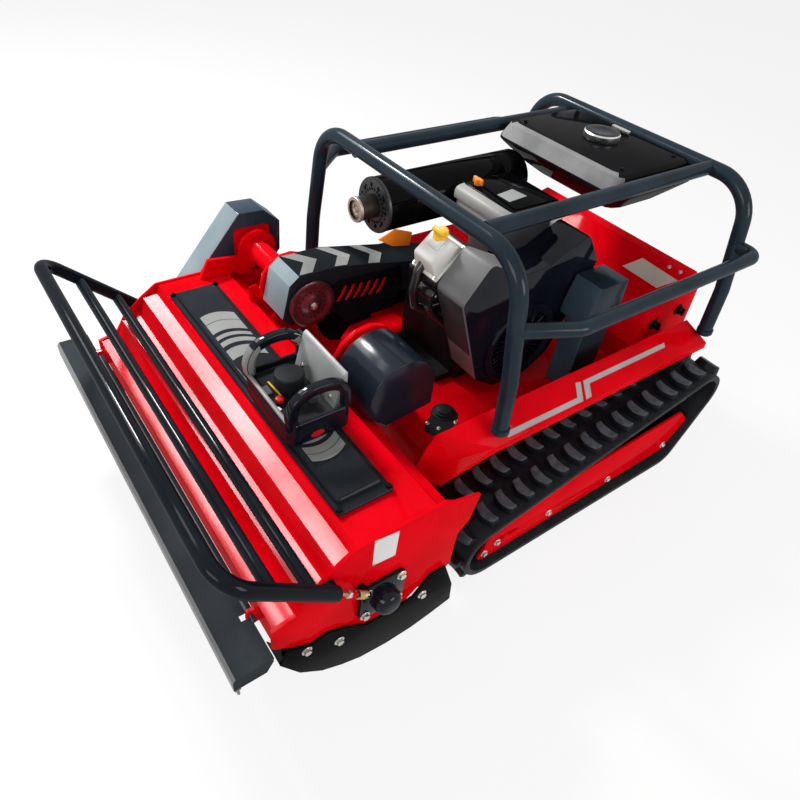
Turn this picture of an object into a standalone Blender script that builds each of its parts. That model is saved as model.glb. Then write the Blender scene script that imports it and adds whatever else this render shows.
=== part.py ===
"""Remote-controlled tracked brush cutter with a flail head, petrol engine and roll cage.

Units are metres and +Z is up. The machine frame has x = 0 on the machine's middle plane, z = 0 on the
ground, and the flail head at -Y. The empty "machine_origin" carries every piece and puts the centre of
the whole footprint at the world origin.
"""
import math

import bmesh
import bpy
from mathutils import Matrix, Vector

# Gaps
SEAT_GAP = 0.0003        # between touching pieces
BORE_GAP = 0.0006        # round a shaft
RUN_GAP = 0.0020         # between wheels and the rubber belt
BELT_SAG = 0.0016        # how far a flat facet of the belt may cut inside its bend

# Tracks
BOX_HALF = 0.300         # half the width of the rear box, which the fenders and tracks stand beside
TRACK_OUT = BOX_HALF + 0.199    # outer edge of each belt from the middle plane
TRACK_WIDTH = 0.184
BELT_T = 0.018
LUG_H = 0.022
LUG_PITCH = 0.060
LUG_TAPER = 0.78
LUG_LENGTH = 0.075        # across the belt
CHEVRON = 0.008
HORN_H = 0.013
HORN_IN = 0.017          # guide horn's inner face from the belt's middle
HORN_OUT = 0.028
WHEEL_R = 0.073          # running radius of idler and sprocket, inside the belt
ROLLER_R = 0.043
IDLER_Y = -0.096
SPROCKET_Y = 0.690
SPROCKET_Z = 0.275
ROLLER_YS = (0.137, 0.389, 0.641)
TREAD_OUT = 0.056        # outer edge of a wheel's tread from the belt's middle
SPROCKET_T = 0.028
SPROCKET_TEETH = 9
TOOTH_DEPTH = 0.013
AXLE_R = 0.011
WHEEL_STEPS = 18
ROLLER_STEPS = 12
FRAME_T = 0.010          # inner plate of the track frame
SIDE_PLATE_T = 0.008
SIDE_PLATE_OUT = TRACK_OUT - 0.019    # outer face of the red side plate

# Chassis
DECK_Z = 0.330
DECK_T = 0.006
TUB_HALF = 0.290
TUB_FRONT = -0.190
TUB_REAR = 0.795
TUB_BOTTOM = 0.120
FENDER_T = 0.004
FENDER_FOOT_X = BOX_HALF + 0.002
FENDER_WHEEL_X = FENDER_FOOT_X + 0.0297
FENDER_RIDGE_X = FENDER_FOOT_X + 0.069
FENDER_RIDGE_Z = 0.500
FENDER_EDGE_X = FENDER_RIDGE_X + 0.064
FENDER_EDGE_Z = 0.450
BOX_REAR = 0.812
BOX_WALL = 0.004
SWITCH_R = 0.012

# Roll cage
CAGE_R = 0.019
HOOP_FRONT_Y = -0.102
HOOP_REAR_Y = 0.683
CAGE_TOP_Z = 0.889
RAIL_Z = {1: CAGE_TOP_Z, -1: CAGE_TOP_Z - 0.019}    # left and right
HOOP_TOP_X = 0.364
HOOP_KINK = (0.4115, CAGE_TOP_Z - 0.271)
HOOP_FOOT_X = FENDER_EDGE_X - 0.015
HOOP_BEND_R = 0.110
HOOP_LEAN = 0.0028       # how far a leaning leg comes out to meet the end of a side bar
RAIL_X = 0.2406           # the tank hangs between the rails
GUARD_X = {1: 0.450, -1: 0.466}
GUARD_Z = {1: CAGE_TOP_Z - 0.149, -1: CAGE_TOP_Z - 0.117}
GUARD_FRONT_Y = {1: 0.030, -1: -0.008}
GUARD_REAR_Y = {1: HOOP_REAR_Y, -1: 0.615}

# Engine
CRANK_Y = 0.150
CRANK_Z = 0.500
CRANKCASE_X = (-0.150, 0.108)
SHROUD_X = (0.112, 0.212)
SHROUD_WALL = 0.004
FAN_R = 0.108
CYL_X = (0.0615, 0.010)  # front and rear cylinder's middle
CYL_R0 = 0.085
V_LEAN = (40.0, 50.0)    # front and rear cylinder from upright, in degrees
HEAD_R0 = 0.242
HEAD_R1 = 0.288
COVER_R1 = 0.332
FILTER_X = (-0.070, 0.1105)
FILTER_Y = (0.108, 0.284)
FILTER_Z = (0.705, 0.796)
LID_T = 0.026

# Muffler
MUFFLER_X = -0.146
MUFFLER_Z = CAGE_TOP_Z - 0.121
MUFFLER_R = 0.067
MUFFLER_Y = (-0.085, 0.385)
TAIL_R = 0.028
TAIL_L = 0.058
GUARD_HOLES = 10

# Fuel tank
TANK_TOP_HALF = RAIL_X - 0.048
TANK_Y = (0.388, 0.649)
TANK_TOP_Z = CAGE_TOP_Z + 0.009
TANK_DEPTH = 0.128
CAP_R = 0.048
CAP_H = 0.020
CAP_Y = 0.530

# Controller tower
TOWER_X = (SHROUD_X[1] + 0.010, BOX_HALF - 0.004)
TOWER_Y = (0.300, 0.402)
TOWER_TOP = 0.668

# Head pivot and drive
PIVOT_Y = -0.250
PIVOT_Z = 0.520
PIVOT_TUBE_R = 0.032
PIVOT_TUBE_BORE = 0.022
PIVOT_COVER_R = 0.091
PIVOT_COVER_X = (0.108, 0.246)
UPRIGHT_R = 0.083
UPRIGHT_T = 0.010
GUARD_BOX_X = (0.010 - TUB_HALF, -0.170)
GUARD_WALL = 0.004
DISC_R = 0.055

# Flail head
PLATE_IN = 0.503
PLATE_T = 0.008
SKIN_T = 0.005
ROTOR_Y = -0.470
ROTOR_Z = 0.262
ROTOR_TUBE_R = 0.045
ROTOR_TIP_R = 0.154
KNIFE_COUNT = 14
HUB_R = 0.032
SHAFT_R = 0.020          # the rotor's stub shafts
SHAFT_BORE = 0.010
SHAFT_END = 0.535
ROTOR_WALL = 0.009
SKID_T = 0.006
SIDE_GUARD_X = (-0.596, -0.5125)
SIDE_GUARD_R = 0.095

# Push bar and front flap
BAR_R = 0.016
BAR_X = 0.535
BAR_Y = -0.812
BAR_Z = 0.600
BAR_END_Y = -0.600
BAR_END_Z = 0.402
INNER_BARS = ((-0.728, 0.518), (-0.648, 0.444))   # (y, z) on the arms
FLAP_HALF = 0.553
FLAP_DEPTH = 0.078
FLAP_LIP = 0.040
FLAP_T = 0.004
HINGE_Y = -0.738
HINGE_Z = 0.334
HINGE_R = 0.007
EAR_X = 0.450

# Remote
REMOTE_X = 0.136
REMOTE_Y = -0.460
REMOTE_HALF = (0.108, 0.076)
REMOTE_H = 0.060
TRAY_DEPTH = 0.018
LOOP_H = 0.074
STOP_STROKE = 0.003
LID_TOP_Z = 0.492


# Placing of the machine frame in the world: the middle of the whole footprint is the origin
BEARING_NOSE = 0.040
RIGHTMOST = SIDE_GUARD_X[0]
LEFTMOST = PLATE_IN + PLATE_T + SKID_T + 2 * SEAT_GAP + 0.001 + BEARING_NOSE
FOREMOST = BAR_Y - BAR_R
REARMOST = BOX_REAR
MID_X = -(RIGHTMOST + LEFTMOST) / 2
MID_Y = -(FOREMOST + REARMOST) / 2


def clear_scene():
    for obj in list(bpy.data.objects):
        bpy.data.objects.remove(obj, do_unlink=True)


clear_scene()
PARTS = bpy.data.collections.new("Remote_brush_cutter")
bpy.context.scene.collection.children.link(PARTS)

origin = bpy.data.objects.new("machine_origin", None)
origin.location = (MID_X, MID_Y, 0.0)
PARTS.objects.link(origin)


def material(name, colour, roughness, metallic=0.0):
    mat = bpy.data.materials.new(name)
    mat.use_nodes = True
    shader = mat.node_tree.nodes["Principled BSDF"]
    shader.inputs["Base Color"].default_value = (*colour, 1.0)
    shader.inputs["Roughness"].default_value = roughness
    shader.inputs["Metallic"].default_value = metallic
    return mat


RED = material("red_paint", (0.78, 0.01, 0.012), 0.28)
SLATE = material("slate_paint", (0.055, 0.085, 0.115), 0.35)
BLACK = material("black_paint", (0.012, 0.012, 0.014), 0.40)
RUBBER = material("track_rubber", (0.020, 0.021, 0.023), 0.75)
STEEL = material("bright_steel", (0.62, 0.60, 0.57), 0.35, 1.0)
CASTING = material("cast_aluminium", (0.60, 0.60, 0.56), 0.55, 0.6)
GREY = material("grey_moulding", (0.42, 0.43, 0.44), 0.45)
TAN = material("heated_steel", (0.42, 0.33, 0.26), 0.50, 0.7)
YELLOW = material("yellow_cap", (0.95, 0.55, 0.02), 0.40)
ORANGE = material("orange_knob", (0.95, 0.25, 0.02), 0.40)


def link(obj, mat):
    PARTS.objects.link(obj)
    obj.data.materials.clear()
    obj.data.materials.append(mat)
    return obj


def mesh_object(name, mesh, mat):
    return link(bpy.data.objects.new(name, mesh), mat)


def bake(obj):
    """Replace an object by the mesh that its modifiers or its curve give."""
    bpy.context.view_layer.update()
    graph = bpy.context.evaluated_depsgraph_get()
    mesh = bpy.data.meshes.new_from_object(obj.evaluated_get(graph), depsgraph=graph)
    mesh.transform(obj.matrix_world)
    mats = [slot.material for slot in obj.material_slots]
    name = obj.name
    bpy.data.objects.remove(obj, do_unlink=True)
    work = bmesh.new()
    work.from_mesh(mesh)
    bmesh.ops.remove_doubles(work, verts=work.verts, dist=0.00002)
    bmesh.ops.recalc_face_normals(work, faces=work.faces)
    work.to_mesh(mesh)
    work.free()
    return mesh_object(name, mesh, mats[0])


def boolean(obj, tool, operation):
    """Join a tool body to an object, or cut it away, and keep the result as the object's mesh."""
    mod = obj.modifiers.new("boolean", "BOOLEAN")
    mod.operation = operation
    mod.solver = "EXACT"
    mod.object = tool
    result = bake(obj)
    bpy.data.objects.remove(tool, do_unlink=True)
    return result


def join(obj, *tools):
    for tool in tools:
        obj = boolean(obj, tool, "UNION")
    return obj


def cut(obj, *tools):
    for tool in tools:
        obj = boolean(obj, tool, "DIFFERENCE")
    return obj


def box(name, mat, xs, ys, zs, bevel=0.0, segments=1):
    """An upright block between two values on each axis."""
    mesh = bpy.data.meshes.new(name)
    work = bmesh.new()
    bmesh.ops.create_cube(work, size=1.0)
    size = Vector((xs[1] - xs[0], ys[1] - ys[0], zs[1] - zs[0]))
    middle = Vector((sum(xs) / 2, sum(ys) / 2, sum(zs) / 2))
    for vert in work.verts:
        vert.co = Vector(c * s for c, s in zip(vert.co, size)) + middle
    if bevel:
        bmesh.ops.bevel(work, geom=work.edges[:], offset=bevel, segments=segments,
                        affect="EDGES", profile=0.5)
    work.to_mesh(mesh)
    work.free()
    return mesh_object(name, mesh, mat)


AXES = {
    "X": Matrix(((0, 0, 1), (1, 0, 0), (0, 1, 0))).to_4x4(),   # drawn in (y, z), raised along x
    "Y": Matrix(((1, 0, 0), (0, 0, -1), (0, 1, 0))).to_4x4(),  # drawn in (x, z), raised along -y
    "Z": Matrix.Identity(4),
}


def plate(name, mat, outline, axis, span, holes=()):
    """A flat outline drawn in the plane across an axis, with holes, raised over a span of it."""
    curve = bpy.data.curves.new(name, "CURVE")
    curve.dimensions = "2D"
    curve.fill_mode = "BOTH"
    curve.extrude = abs(span[1] - span[0]) / 2
    for ring in (outline, *holes):
        spline = curve.splines.new("POLY")
        spline.points.add(len(ring) - 1)
        for point, (u, v) in zip(spline.points, ring):
            point.co = (u, v, 0.0, 1.0)
        spline.use_cyclic_u = True
    obj = link(bpy.data.objects.new(name, curve), mat)
    middle = sum(span) / 2
    shift = {"X": (middle, 0, 0), "Y": (0, middle, 0), "Z": (0, 0, middle)}[axis]
    obj.matrix_world = Matrix.Translation(shift) @ AXES[axis]
    return bake(obj)


def turned(name, mat, profile, axis, centre, steps=32, at=0.0):
    """A profile of (radius, height) points, top to bottom, turned about an axis through a centre."""
    mesh = bpy.data.meshes.new(name)
    mesh.from_pydata([(r, 0.0, h) for r, h in profile],
                     [(i, i + 1) for i in range(len(profile) - 1)], [])
    obj = mesh_object(name, mesh, mat)
    screw = obj.modifiers.new("turn", "SCREW")
    screw.steps = screw.render_steps = steps
    screw.use_merge_vertices = True
    screw.merge_threshold = 0.00005
    turn = {"X": Matrix.Rotation(math.radians(90), 4, "Y"),
            "Y": Matrix.Rotation(math.radians(-90), 4, "X"),
            "Z": Matrix.Identity(4)}[axis]
    along = {"X": Vector((at, 0, 0)), "Y": Vector((0, at, 0)), "Z": Vector((0, 0, at))}[axis]
    obj.matrix_world = Matrix.Translation(Vector(centre) + along) @ turn
    return bake(obj)


def rod(name, mat, radius, axis, centre, span, steps=24, bevel=0.0):
    """A plain round bar over a span of an axis, with a small chamfer where asked."""
    low, high = span
    if bevel:
        profile = [(0, high), (radius - bevel, high), (radius, high - bevel),
                   (radius, low + bevel), (radius - bevel, low), (0, low)]
    else:
        profile = [(0, high), (radius, high), (radius, low), (0, low)]
    return turned(name, mat, profile, axis, centre, steps)


def ring(name, mat, outer, inner, axis, centre, span, steps=32):
    """A round tube over a span of an axis."""
    low, high = span
    profile = [(inner, low), (inner, high), (outer, high), (outer, low), (inner, low)]
    return turned(name, mat, profile, axis, centre, steps)


def fillet(points, radius, steps=6, closed=False):
    """Points of a bent line whose inner corners are arcs of one radius."""
    pts = [Vector(p) for p in points]
    out = []
    count = len(pts)
    for i, here in enumerate(pts):
        if not closed and i in (0, count - 1):
            out.append(here)
            continue
        before = (pts[i - 1] - here).normalized()
        after = (pts[(i + 1) % count] - here).normalized()
        angle = before.angle(after)
        if abs(math.pi - angle) < 0.02:
            out.append(here)
            continue
        room = min((pts[i - 1] - here).length, (pts[(i + 1) % count] - here).length) * 0.49
        reach = min(radius / math.tan(angle / 2), room)
        arc_r = reach * math.tan(angle / 2)
        hub = here + (before + after).normalized() * arc_r / math.sin(angle / 2)
        start = here + before * reach - hub
        end = here + after * reach - hub
        turn = start.angle(end)
        for k in range(steps + 1):
            share = k / steps
            arm = (start * math.sin((1 - share) * turn) + end * math.sin(share * turn)) / math.sin(turn)
            out.append(hub + arm)
    return out


def tube(name, mat, points, radius, resolution=4):
    """A round bar along a line of points, with flat ends."""
    curve = bpy.data.curves.new(name, "CURVE")
    curve.dimensions = "3D"
    curve.bevel_depth = radius
    curve.bevel_resolution = resolution
    curve.use_fill_caps = True
    spline = curve.splines.new("POLY")
    spline.points.add(len(points) - 1)
    for point, co in zip(spline.points, points):
        point.co = (*co, 1.0)
    return bake(link(bpy.data.objects.new(name, curve), mat))


def arc(centre, radius, start, end, steps):
    """Points of a flat arc, in degrees."""
    out = []
    for k in range(steps + 1):
        a = math.radians(start + (end - start) * k / steps)
        out.append((centre[0] + radius * math.cos(a), centre[1] + radius * math.sin(a)))
    return out


def rounded(outline, radius, steps=4):
    """A flat outline with its corners rounded."""
    return [(p.x, p.y) for p in fillet([(u, v, 0) for u, v in outline], radius, steps, closed=True)]


def slot(centre, length, width, angle=0.0, steps=5):
    """A flat outline with round ends."""
    turn = Matrix.Rotation(math.radians(angle), 2)
    half = (length - width) / 2
    shape = arc((half, 0), width / 2, -90, 90, steps) + arc((-half, 0), width / 2, 90, 270, steps)
    return [tuple(turn @ Vector(p) + Vector(centre)) for p in shape]


def smooth(obj, angle=35):
    obj.data.shade_smooth()
    obj.data.set_sharp_from_angle(angle=math.radians(angle))
    return obj


def seat(obj, pivot=(0.0, 0.0, 0.0)):
    """Put a finished piece on the machine frame, with its own origin at its pivot."""
    obj.data.transform(Matrix.Translation(-Vector(pivot)))
    obj.parent = origin
    obj.location = pivot
    return smooth(obj)


def side_name(side):
    return "left" if side > 0 else "right"


# Track layout

WHEEL_Z = WHEEL_R + BELT_T + LUG_H
ROLLER_Z = ROLLER_R + BELT_T + LUG_H
TRACK_MID = TRACK_OUT - TRACK_WIDTH / 2
IDLER = Vector((IDLER_Y, WHEEL_Z))
LAST_ROLLER = Vector((ROLLER_YS[-1], ROLLER_Z))
SPROCKET = Vector((SPROCKET_Y, SPROCKET_Z))


class BeltLine:
    """The inner face of the belt: lines and arcs round idler, last roller and sprocket."""

    def __init__(self, circles):
        self.pieces = []
        joints = []
        count = len(circles)
        for i in range(count):
            (c0, r0), (c1, r1) = circles[i], circles[(i + 1) % count]
            way = c1 - c0
            base = math.atan2(way.y, way.x)
            lean = math.acos((r0 - r1) / way.length)
            out = Vector((math.cos(base - lean), math.sin(base - lean)))
            joints.append((c0 + out * r0, c1 + out * r1, out))
        for i in range(count):
            start, end, out = joints[i]
            self.pieces.append(("line", (end - start).length, start, end, out))
            centre, radius = circles[(i + 1) % count]
            a0 = math.atan2(out.y, out.x)
            after = joints[(i + 1) % count][2]
            a1 = math.atan2(after.y, after.x)
            while a1 < a0:
                a1 += 2 * math.pi
            self.pieces.append(("arc", (a1 - a0) * radius, centre, radius, a0))
        self.length = sum(piece[1] for piece in self.pieces)

    def at(self, s):
        """Point, outward direction and bend radius (0 where straight) at a distance along the belt."""
        s %= self.length
        for kind, length, *rest in self.pieces:
            if s <= length:
                if kind == "line":
                    start, end, out = rest
                    return start.lerp(end, s / length), out, 0.0
                centre, radius, a0 = rest
                a = a0 + s / radius
                out = Vector((math.cos(a), math.sin(a)))
                return centre + out * radius, out, radius
            s -= length
        return self.at(0.0)


BELT_LINE = BeltLine([(IDLER, WHEEL_R), (LAST_ROLLER, ROLLER_R), (SPROCKET, WHEEL_R)])
LUG_COUNT = round(BELT_LINE.length / LUG_PITCH)


def track_belt(side):
    """Rubber belt: one closed band with two rows of chevron lugs outside and guide horns inside."""
    half = TRACK_WIDTH / 2
    outer = [half, half - LUG_LENGTH / 2, half - LUG_LENGTH]
    outer = [-x for x in outer] + outer[::-1]
    inner = [-half, -HORN_OUT, -HORN_IN, HORN_IN, HORN_OUT, half]
    zone = BELT_LINE.length / (2 * LUG_COUNT)
    stations = []
    for k in range(2 * LUG_COUNT):
        bends = [r for r in (BELT_LINE.at(k * zone + f * zone)[2] for f in (0.02, 0.5, 0.98)) if r]
        parts = math.ceil(zone / math.sqrt(8 * min(bends) * BELT_SAG)) if bends else 1
        stations += [((k + part / parts) * zone, k) for part in range(parts)]
    work = bmesh.new()

    def row(s, columns, height, chevron):
        verts = []
        for j, x in enumerate(columns):
            lead = -CHEVRON if chevron and j in (1, 4) else 0.0
            point, out, _ = BELT_LINE.at(s + lead)
            spot = point + out * height
            verts.append(work.verts.new((side * TRACK_MID + x, spot.x, spot.y)))
        return verts

    outside = [row(s, outer, BELT_T, True) for s, _ in stations]
    inside = [row(s, inner, 0.0, False) for s, _ in stations]
    lugs, horns = {}, {}
    total = len(stations)
    for i in range(total):
        n = (i + 1) % total
        k = stations[i][1]
        for j in range(len(outer) - 1):
            face = work.faces.new((outside[i][j], outside[i][j + 1], outside[n][j + 1], outside[n][j]))
            if j != 2 and k % 2 == 0:
                lugs.setdefault((k, j // 3), []).append(face)
        for j in range(len(inner) - 1):
            face = work.faces.new((inside[i][j], inside[n][j], inside[n][j + 1], inside[i][j + 1]))
            if j in (1, 3) and k % 2 == 0:
                horns.setdefault((k, j), []).append(face)
        work.faces.new((inside[i][0], outside[i][0], outside[n][0], inside[n][0]))
        work.faces.new((outside[i][-1], inside[i][-1], inside[n][-1], outside[n][-1]))
    bmesh.ops.recalc_face_normals(work, faces=work.faces)
    for group, height in ((lugs, LUG_H), (horns, HORN_H)):
        for faces in group.values():
            normal = sum((face.normal for face in faces), Vector()).normalized()
            made = bmesh.ops.extrude_face_region(work, geom=faces)["geom"]
            bmesh.ops.delete(work, geom=faces, context="FACES")
            verts = [g for g in made if isinstance(g, bmesh.types.BMVert)]
            middle = sum((v.co for v in verts), Vector()) / len(verts)
            for v in verts:
                arm = (v.co - middle) * LUG_TAPER
                arm.x *= 0.96 / LUG_TAPER
                v.co = middle + arm + normal * height
    bmesh.ops.recalc_face_normals(work, faces=work.faces)
    name = f"track_belt_{side_name(side)}"
    mesh = bpy.data.meshes.new(name)
    work.to_mesh(mesh)
    work.free()
    return seat(mesh_object(name, mesh, RUBBER))


def track_wheel(name, radius, side, centre, bore, mat):
    """Idler or roller: two treads with a groove for the guide horns, turned in one."""
    tread, groove = TREAD_OUT, HORN_OUT + 0.006
    low = radius - HORN_H - 0.004
    half = [(bore, tread - 0.009), (radius, tread - 0.003), (radius, groove), (low, groove - 0.003)]
    profile = half + [(r, -h) for r, h in reversed(half)] + half[:1]
    steps = WHEEL_STEPS if radius > ROLLER_R else ROLLER_STEPS
    obj = turned(name, mat, profile, "X", (side * TRACK_MID, centre.x, centre.y), steps)
    return seat(obj, (side * TRACK_MID, centre.x, centre.y))


def track_sprocket(side):
    """Drive sprocket: a toothed disc between the guide horns, with a bolted hub."""
    tip = WHEEL_R - RUN_GAP
    root = tip - TOOTH_DEPTH
    outline = []
    for k in range(SPROCKET_TEETH):
        for share, r in ((0.28, root), (0.42, tip), (0.58, tip), (0.72, root)):
            a = 2 * math.pi * (k + share) / SPROCKET_TEETH
            outline.append((SPROCKET.x + r * math.cos(a), SPROCKET.y + r * math.sin(a)))
    bore = arc(SPROCKET, AXLE_R + BORE_GAP, 0, 330, 11)
    mid = side * TRACK_MID
    disc = plate("disc", STEEL, outline, "X", (mid - SPROCKET_T / 2, mid + SPROCKET_T / 2), [bore])
    hub = ring("hub", STEEL, 0.034, AXLE_R + BORE_GAP, "X", (mid, SPROCKET.x, SPROCKET.y),
               (-0.050, 0.050), 12)
    obj = join(disc, hub)
    obj.name = f"drive_sprocket_{side_name(side)}"
    return seat(obj, (mid, SPROCKET.x, SPROCKET.y))


def track_frame(side):
    """Inner plate of the track with its axles, and the two arms that carry it on the chassis."""
    inner_x = TRACK_MID - TREAD_OUT - 0.006 - FRAME_T
    outline = rounded([(IDLER.x - 0.030, IDLER.y - 0.030), (IDLER.x + 0.05, ROLLER_Z - 0.028),
                       (LAST_ROLLER.x + 0.03, ROLLER_Z - 0.028), (SPROCKET.x + 0.045, SPROCKET.y - 0.010),
                       (SPROCKET.x - 0.008, SPROCKET.y + 0.064), (IDLER.x - 0.008, IDLER.y + 0.064)],
                      0.02, 2)
    span = sorted((side * inner_x, side * (inner_x + FRAME_T)))
    obj = plate(f"track_frame_{side_name(side)}", BLACK, outline, "X", span)
    ends = [(IDLER, 0), (SPROCKET, 0)] + [(Vector((y, ROLLER_Z)), 0) for y in ROLLER_YS]
    reach = SIDE_PLATE_OUT - SIDE_PLATE_T - SEAT_GAP
    for centre, _ in ends:
        stop = reach if centre is not SPROCKET else TRACK_MID + TREAD_OUT + 0.004
        axle = rod("axle", BLACK, AXLE_R, "X", (0, centre.x, centre.y),
                   sorted((side * (inner_x + 0.002), side * stop)), 10)
        obj = join(obj, axle)
    for y in (0.110, 0.500):
        arm = box("arm", BLACK, sorted((side * (TUB_HALF + SEAT_GAP), side * (inner_x + 0.003))),
                  (y, y + 0.070), (0.150, 0.200))
        obj = join(obj, arm)
    return seat(obj)


def track_side_plate(side):
    """Red outer plate bolted over the axle ends, with the idler's tension slots."""
    outline = [(-0.124, 0.064), (-0.095, 0.052), (0.655, 0.070), (0.726, 0.170), (0.668, 0.224),
               (0.475, 0.216), (-0.045, 0.192), (-0.092, 0.160), (-0.106, 0.098)]
    holes = [slot((y, 0.104), 0.038, 0.013, 3) for y in (IDLER_Y + 0.048, IDLER_Y + 0.095)]
    span = sorted((side * (SIDE_PLATE_OUT - SIDE_PLATE_T), side * SIDE_PLATE_OUT))
    return seat(plate(f"track_side_plate_{side_name(side)}", RED, rounded(outline, 0.010, 2), "X",
                      span, holes))


def tracks():
    for side in (1, -1):
        name = side_name(side)
        bore = AXLE_R + BORE_GAP
        track_belt(side)
        track_frame(side)
        track_side_plate(side)
        track_sprocket(side)
        track_wheel(f"idler_wheel_{name}", WHEEL_R - RUN_GAP, side, IDLER, bore, BLACK)
        for n, y in enumerate(ROLLER_YS, 1):
            track_wheel(f"road_roller_{n}_{name}", ROLLER_R - RUN_GAP, side, Vector((y, ROLLER_Z)),
                        bore, BLACK)


def chassis():
    """Folded steel tub between the tracks, open below, with the uprights that hold the head's pivot."""
    tub = box("chassis_frame", RED, (-TUB_HALF, TUB_HALF), (TUB_FRONT, TUB_REAR), (TUB_BOTTOM, DECK_Z))
    hollow = box("hollow", RED, (-TUB_HALF + DECK_T, TUB_HALF - DECK_T),
                 (TUB_FRONT + DECK_T, TUB_REAR - DECK_T), (TUB_BOTTOM - 0.01, DECK_Z - DECK_T))
    tub = cut(tub, hollow)
    hole = plate("hole", RED, slot((0.205, -0.062), 0.075, 0.036, 35), "Z", (DECK_Z - 0.05, DECK_Z + 0.05))
    tub = cut(tub, hole)
    upright = [(TUB_FRONT + 0.080, DECK_Z - 0.003), (TUB_FRONT, DECK_Z - 0.003),
               (TUB_FRONT - 0.030, DECK_Z + 0.050)]
    upright += arc((PIVOT_Y, PIVOT_Z), UPRIGHT_R, 200, 10, 8)
    bore = arc((PIVOT_Y, PIVOT_Z), PIVOT_TUBE_R + BORE_GAP, 0, 342, 19)
    near = (PIVOT_COVER_X[0] - SEAT_GAP - UPRIGHT_T, PIVOT_COVER_X[0] - SEAT_GAP)
    far = (-TUB_HALF - 0.0085, -TUB_HALF + 0.0035)
    for xs in (far, near):
        tub = join(tub, plate("upright", RED, upright, "X", xs, [bore]))
    return seat(tub)


def fender(side):
    """Folded fender: inner wall, sloping top and the facet that closes its front."""
    points = {
        "foot_front": (FENDER_FOOT_X, -0.230, DECK_Z + 0.004),
        "foot_rear": (FENDER_FOOT_X, 0.540, DECK_Z + 0.004),
        "wheel_front": (FENDER_WHEEL_X, 0.580, 0.405),
        "wheel_rear": (FENDER_WHEEL_X, 0.705, 0.405),
        "ridge_front": (FENDER_RIDGE_X, -0.249, FENDER_RIDGE_Z),
        "ridge_rear": (FENDER_RIDGE_X, 0.660, FENDER_RIDGE_Z),
        "edge_front": (FENDER_EDGE_X, -0.117, FENDER_EDGE_Z),
        "edge_rear": (FENDER_EDGE_X, 0.695, FENDER_EDGE_Z),
        "toe_outer": (FENDER_EDGE_X - 0.035, -0.235, 0.352),
        "toe_inner": (FENDER_FOOT_X + 0.028, -0.258, 0.345),
        "tail_outer": (FENDER_EDGE_X - 0.010, 0.712, 0.425),
        "lip_front": (FENDER_EDGE_X + 0.001, -0.117, FENDER_EDGE_Z - 0.016),
        "lip_rear": (FENDER_EDGE_X + 0.001, 0.695, FENDER_EDGE_Z - 0.016),
    }
    folds = [("foot_front", "foot_rear", "wheel_front", "wheel_rear", "ridge_rear", "ridge_front"),
             ("ridge_front", "ridge_rear", "edge_rear", "edge_front"),
             ("edge_front", "edge_rear", "lip_rear", "lip_front"),
             ("toe_inner", "ridge_front", "edge_front", "toe_outer"),
             ("foot_front", "ridge_front", "toe_inner"),
             ("edge_front", "lip_front", "toe_outer"),
             ("wheel_rear", "tail_outer", "edge_rear", "ridge_rear")]
    work = bmesh.new()
    verts = {key: work.verts.new((side * x, y, z)) for key, (x, y, z) in points.items()}
    for names in folds:
        work.faces.new([verts[key] for key in names])
    bmesh.ops.recalc_face_normals(work, faces=work.faces)
    name = f"fender_{side_name(side)}"
    mesh = bpy.data.meshes.new(name)
    work.to_mesh(mesh)
    work.free()
    obj = mesh_object(name, mesh, RED)
    wall = obj.modifiers.new("wall", "SOLIDIFY")
    wall.thickness = FENDER_T
    wall.offset = 0
    obj = bake(obj)
    if side < 0:
        notch = rod("notch", RED, PIVOT_TUBE_R + 0.005, "X", (0, PIVOT_Y, PIVOT_Z), (-0.50, -0.25), 20)
        obj = cut(obj, notch)
    return seat(obj)


def rear_box():
    """Sloped electronics box across the back of the deck, with its two key switches."""
    outline = [(0.545, DECK_Z + SEAT_GAP), (0.545, 0.405), (0.600, 0.470), (0.718, 0.590), (0.745, 0.597),
               (BOX_REAR - 0.012, 0.535), (BOX_REAR, 0.400), (BOX_REAR, DECK_Z + SEAT_GAP)]
    obj = plate("rear_box", RED, outline, "X", (-BOX_HALF, BOX_HALF))
    w = BOX_WALL
    core = [(0.545 + w, DECK_Z - 0.01), (0.545 + w, 0.405 - w / 2), (0.600 + w, 0.470 - w),
            (0.718, 0.590 - w * 1.4), (0.745, 0.597 - w * 1.2), (BOX_REAR - 0.012 - w, 0.535 - w),
            (BOX_REAR - w, 0.400), (BOX_REAR - w, DECK_Z - 0.01)]
    obj = cut(obj, plate("core", RED, core, "X", (-BOX_HALF + w, BOX_HALF - w)))
    seat(obj)
    for n, (y, z) in enumerate(((0.625, 0.455), (0.735, 0.470)), 1):
        face = BOX_HALF + SEAT_GAP
        knob = turned(f"rear_switch_{n}", BLACK,
                      [(0, 0.014), (SWITCH_R - 0.002, 0.014), (SWITCH_R, 0.012), (SWITCH_R, 0.004),
                       (SWITCH_R + 0.006, 0.003), (SWITCH_R + 0.006, 0.0), (0, 0.0)],
                      "X", (face, y, z), 16)
        bar = box("bar", BLACK, (face + 0.010, face + 0.022), (y - 0.0035, y + 0.0035),
                  (z - SWITCH_R + 0.001, z + SWITCH_R - 0.001))
        seat(join(knob, bar), (face, y, z))


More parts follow.
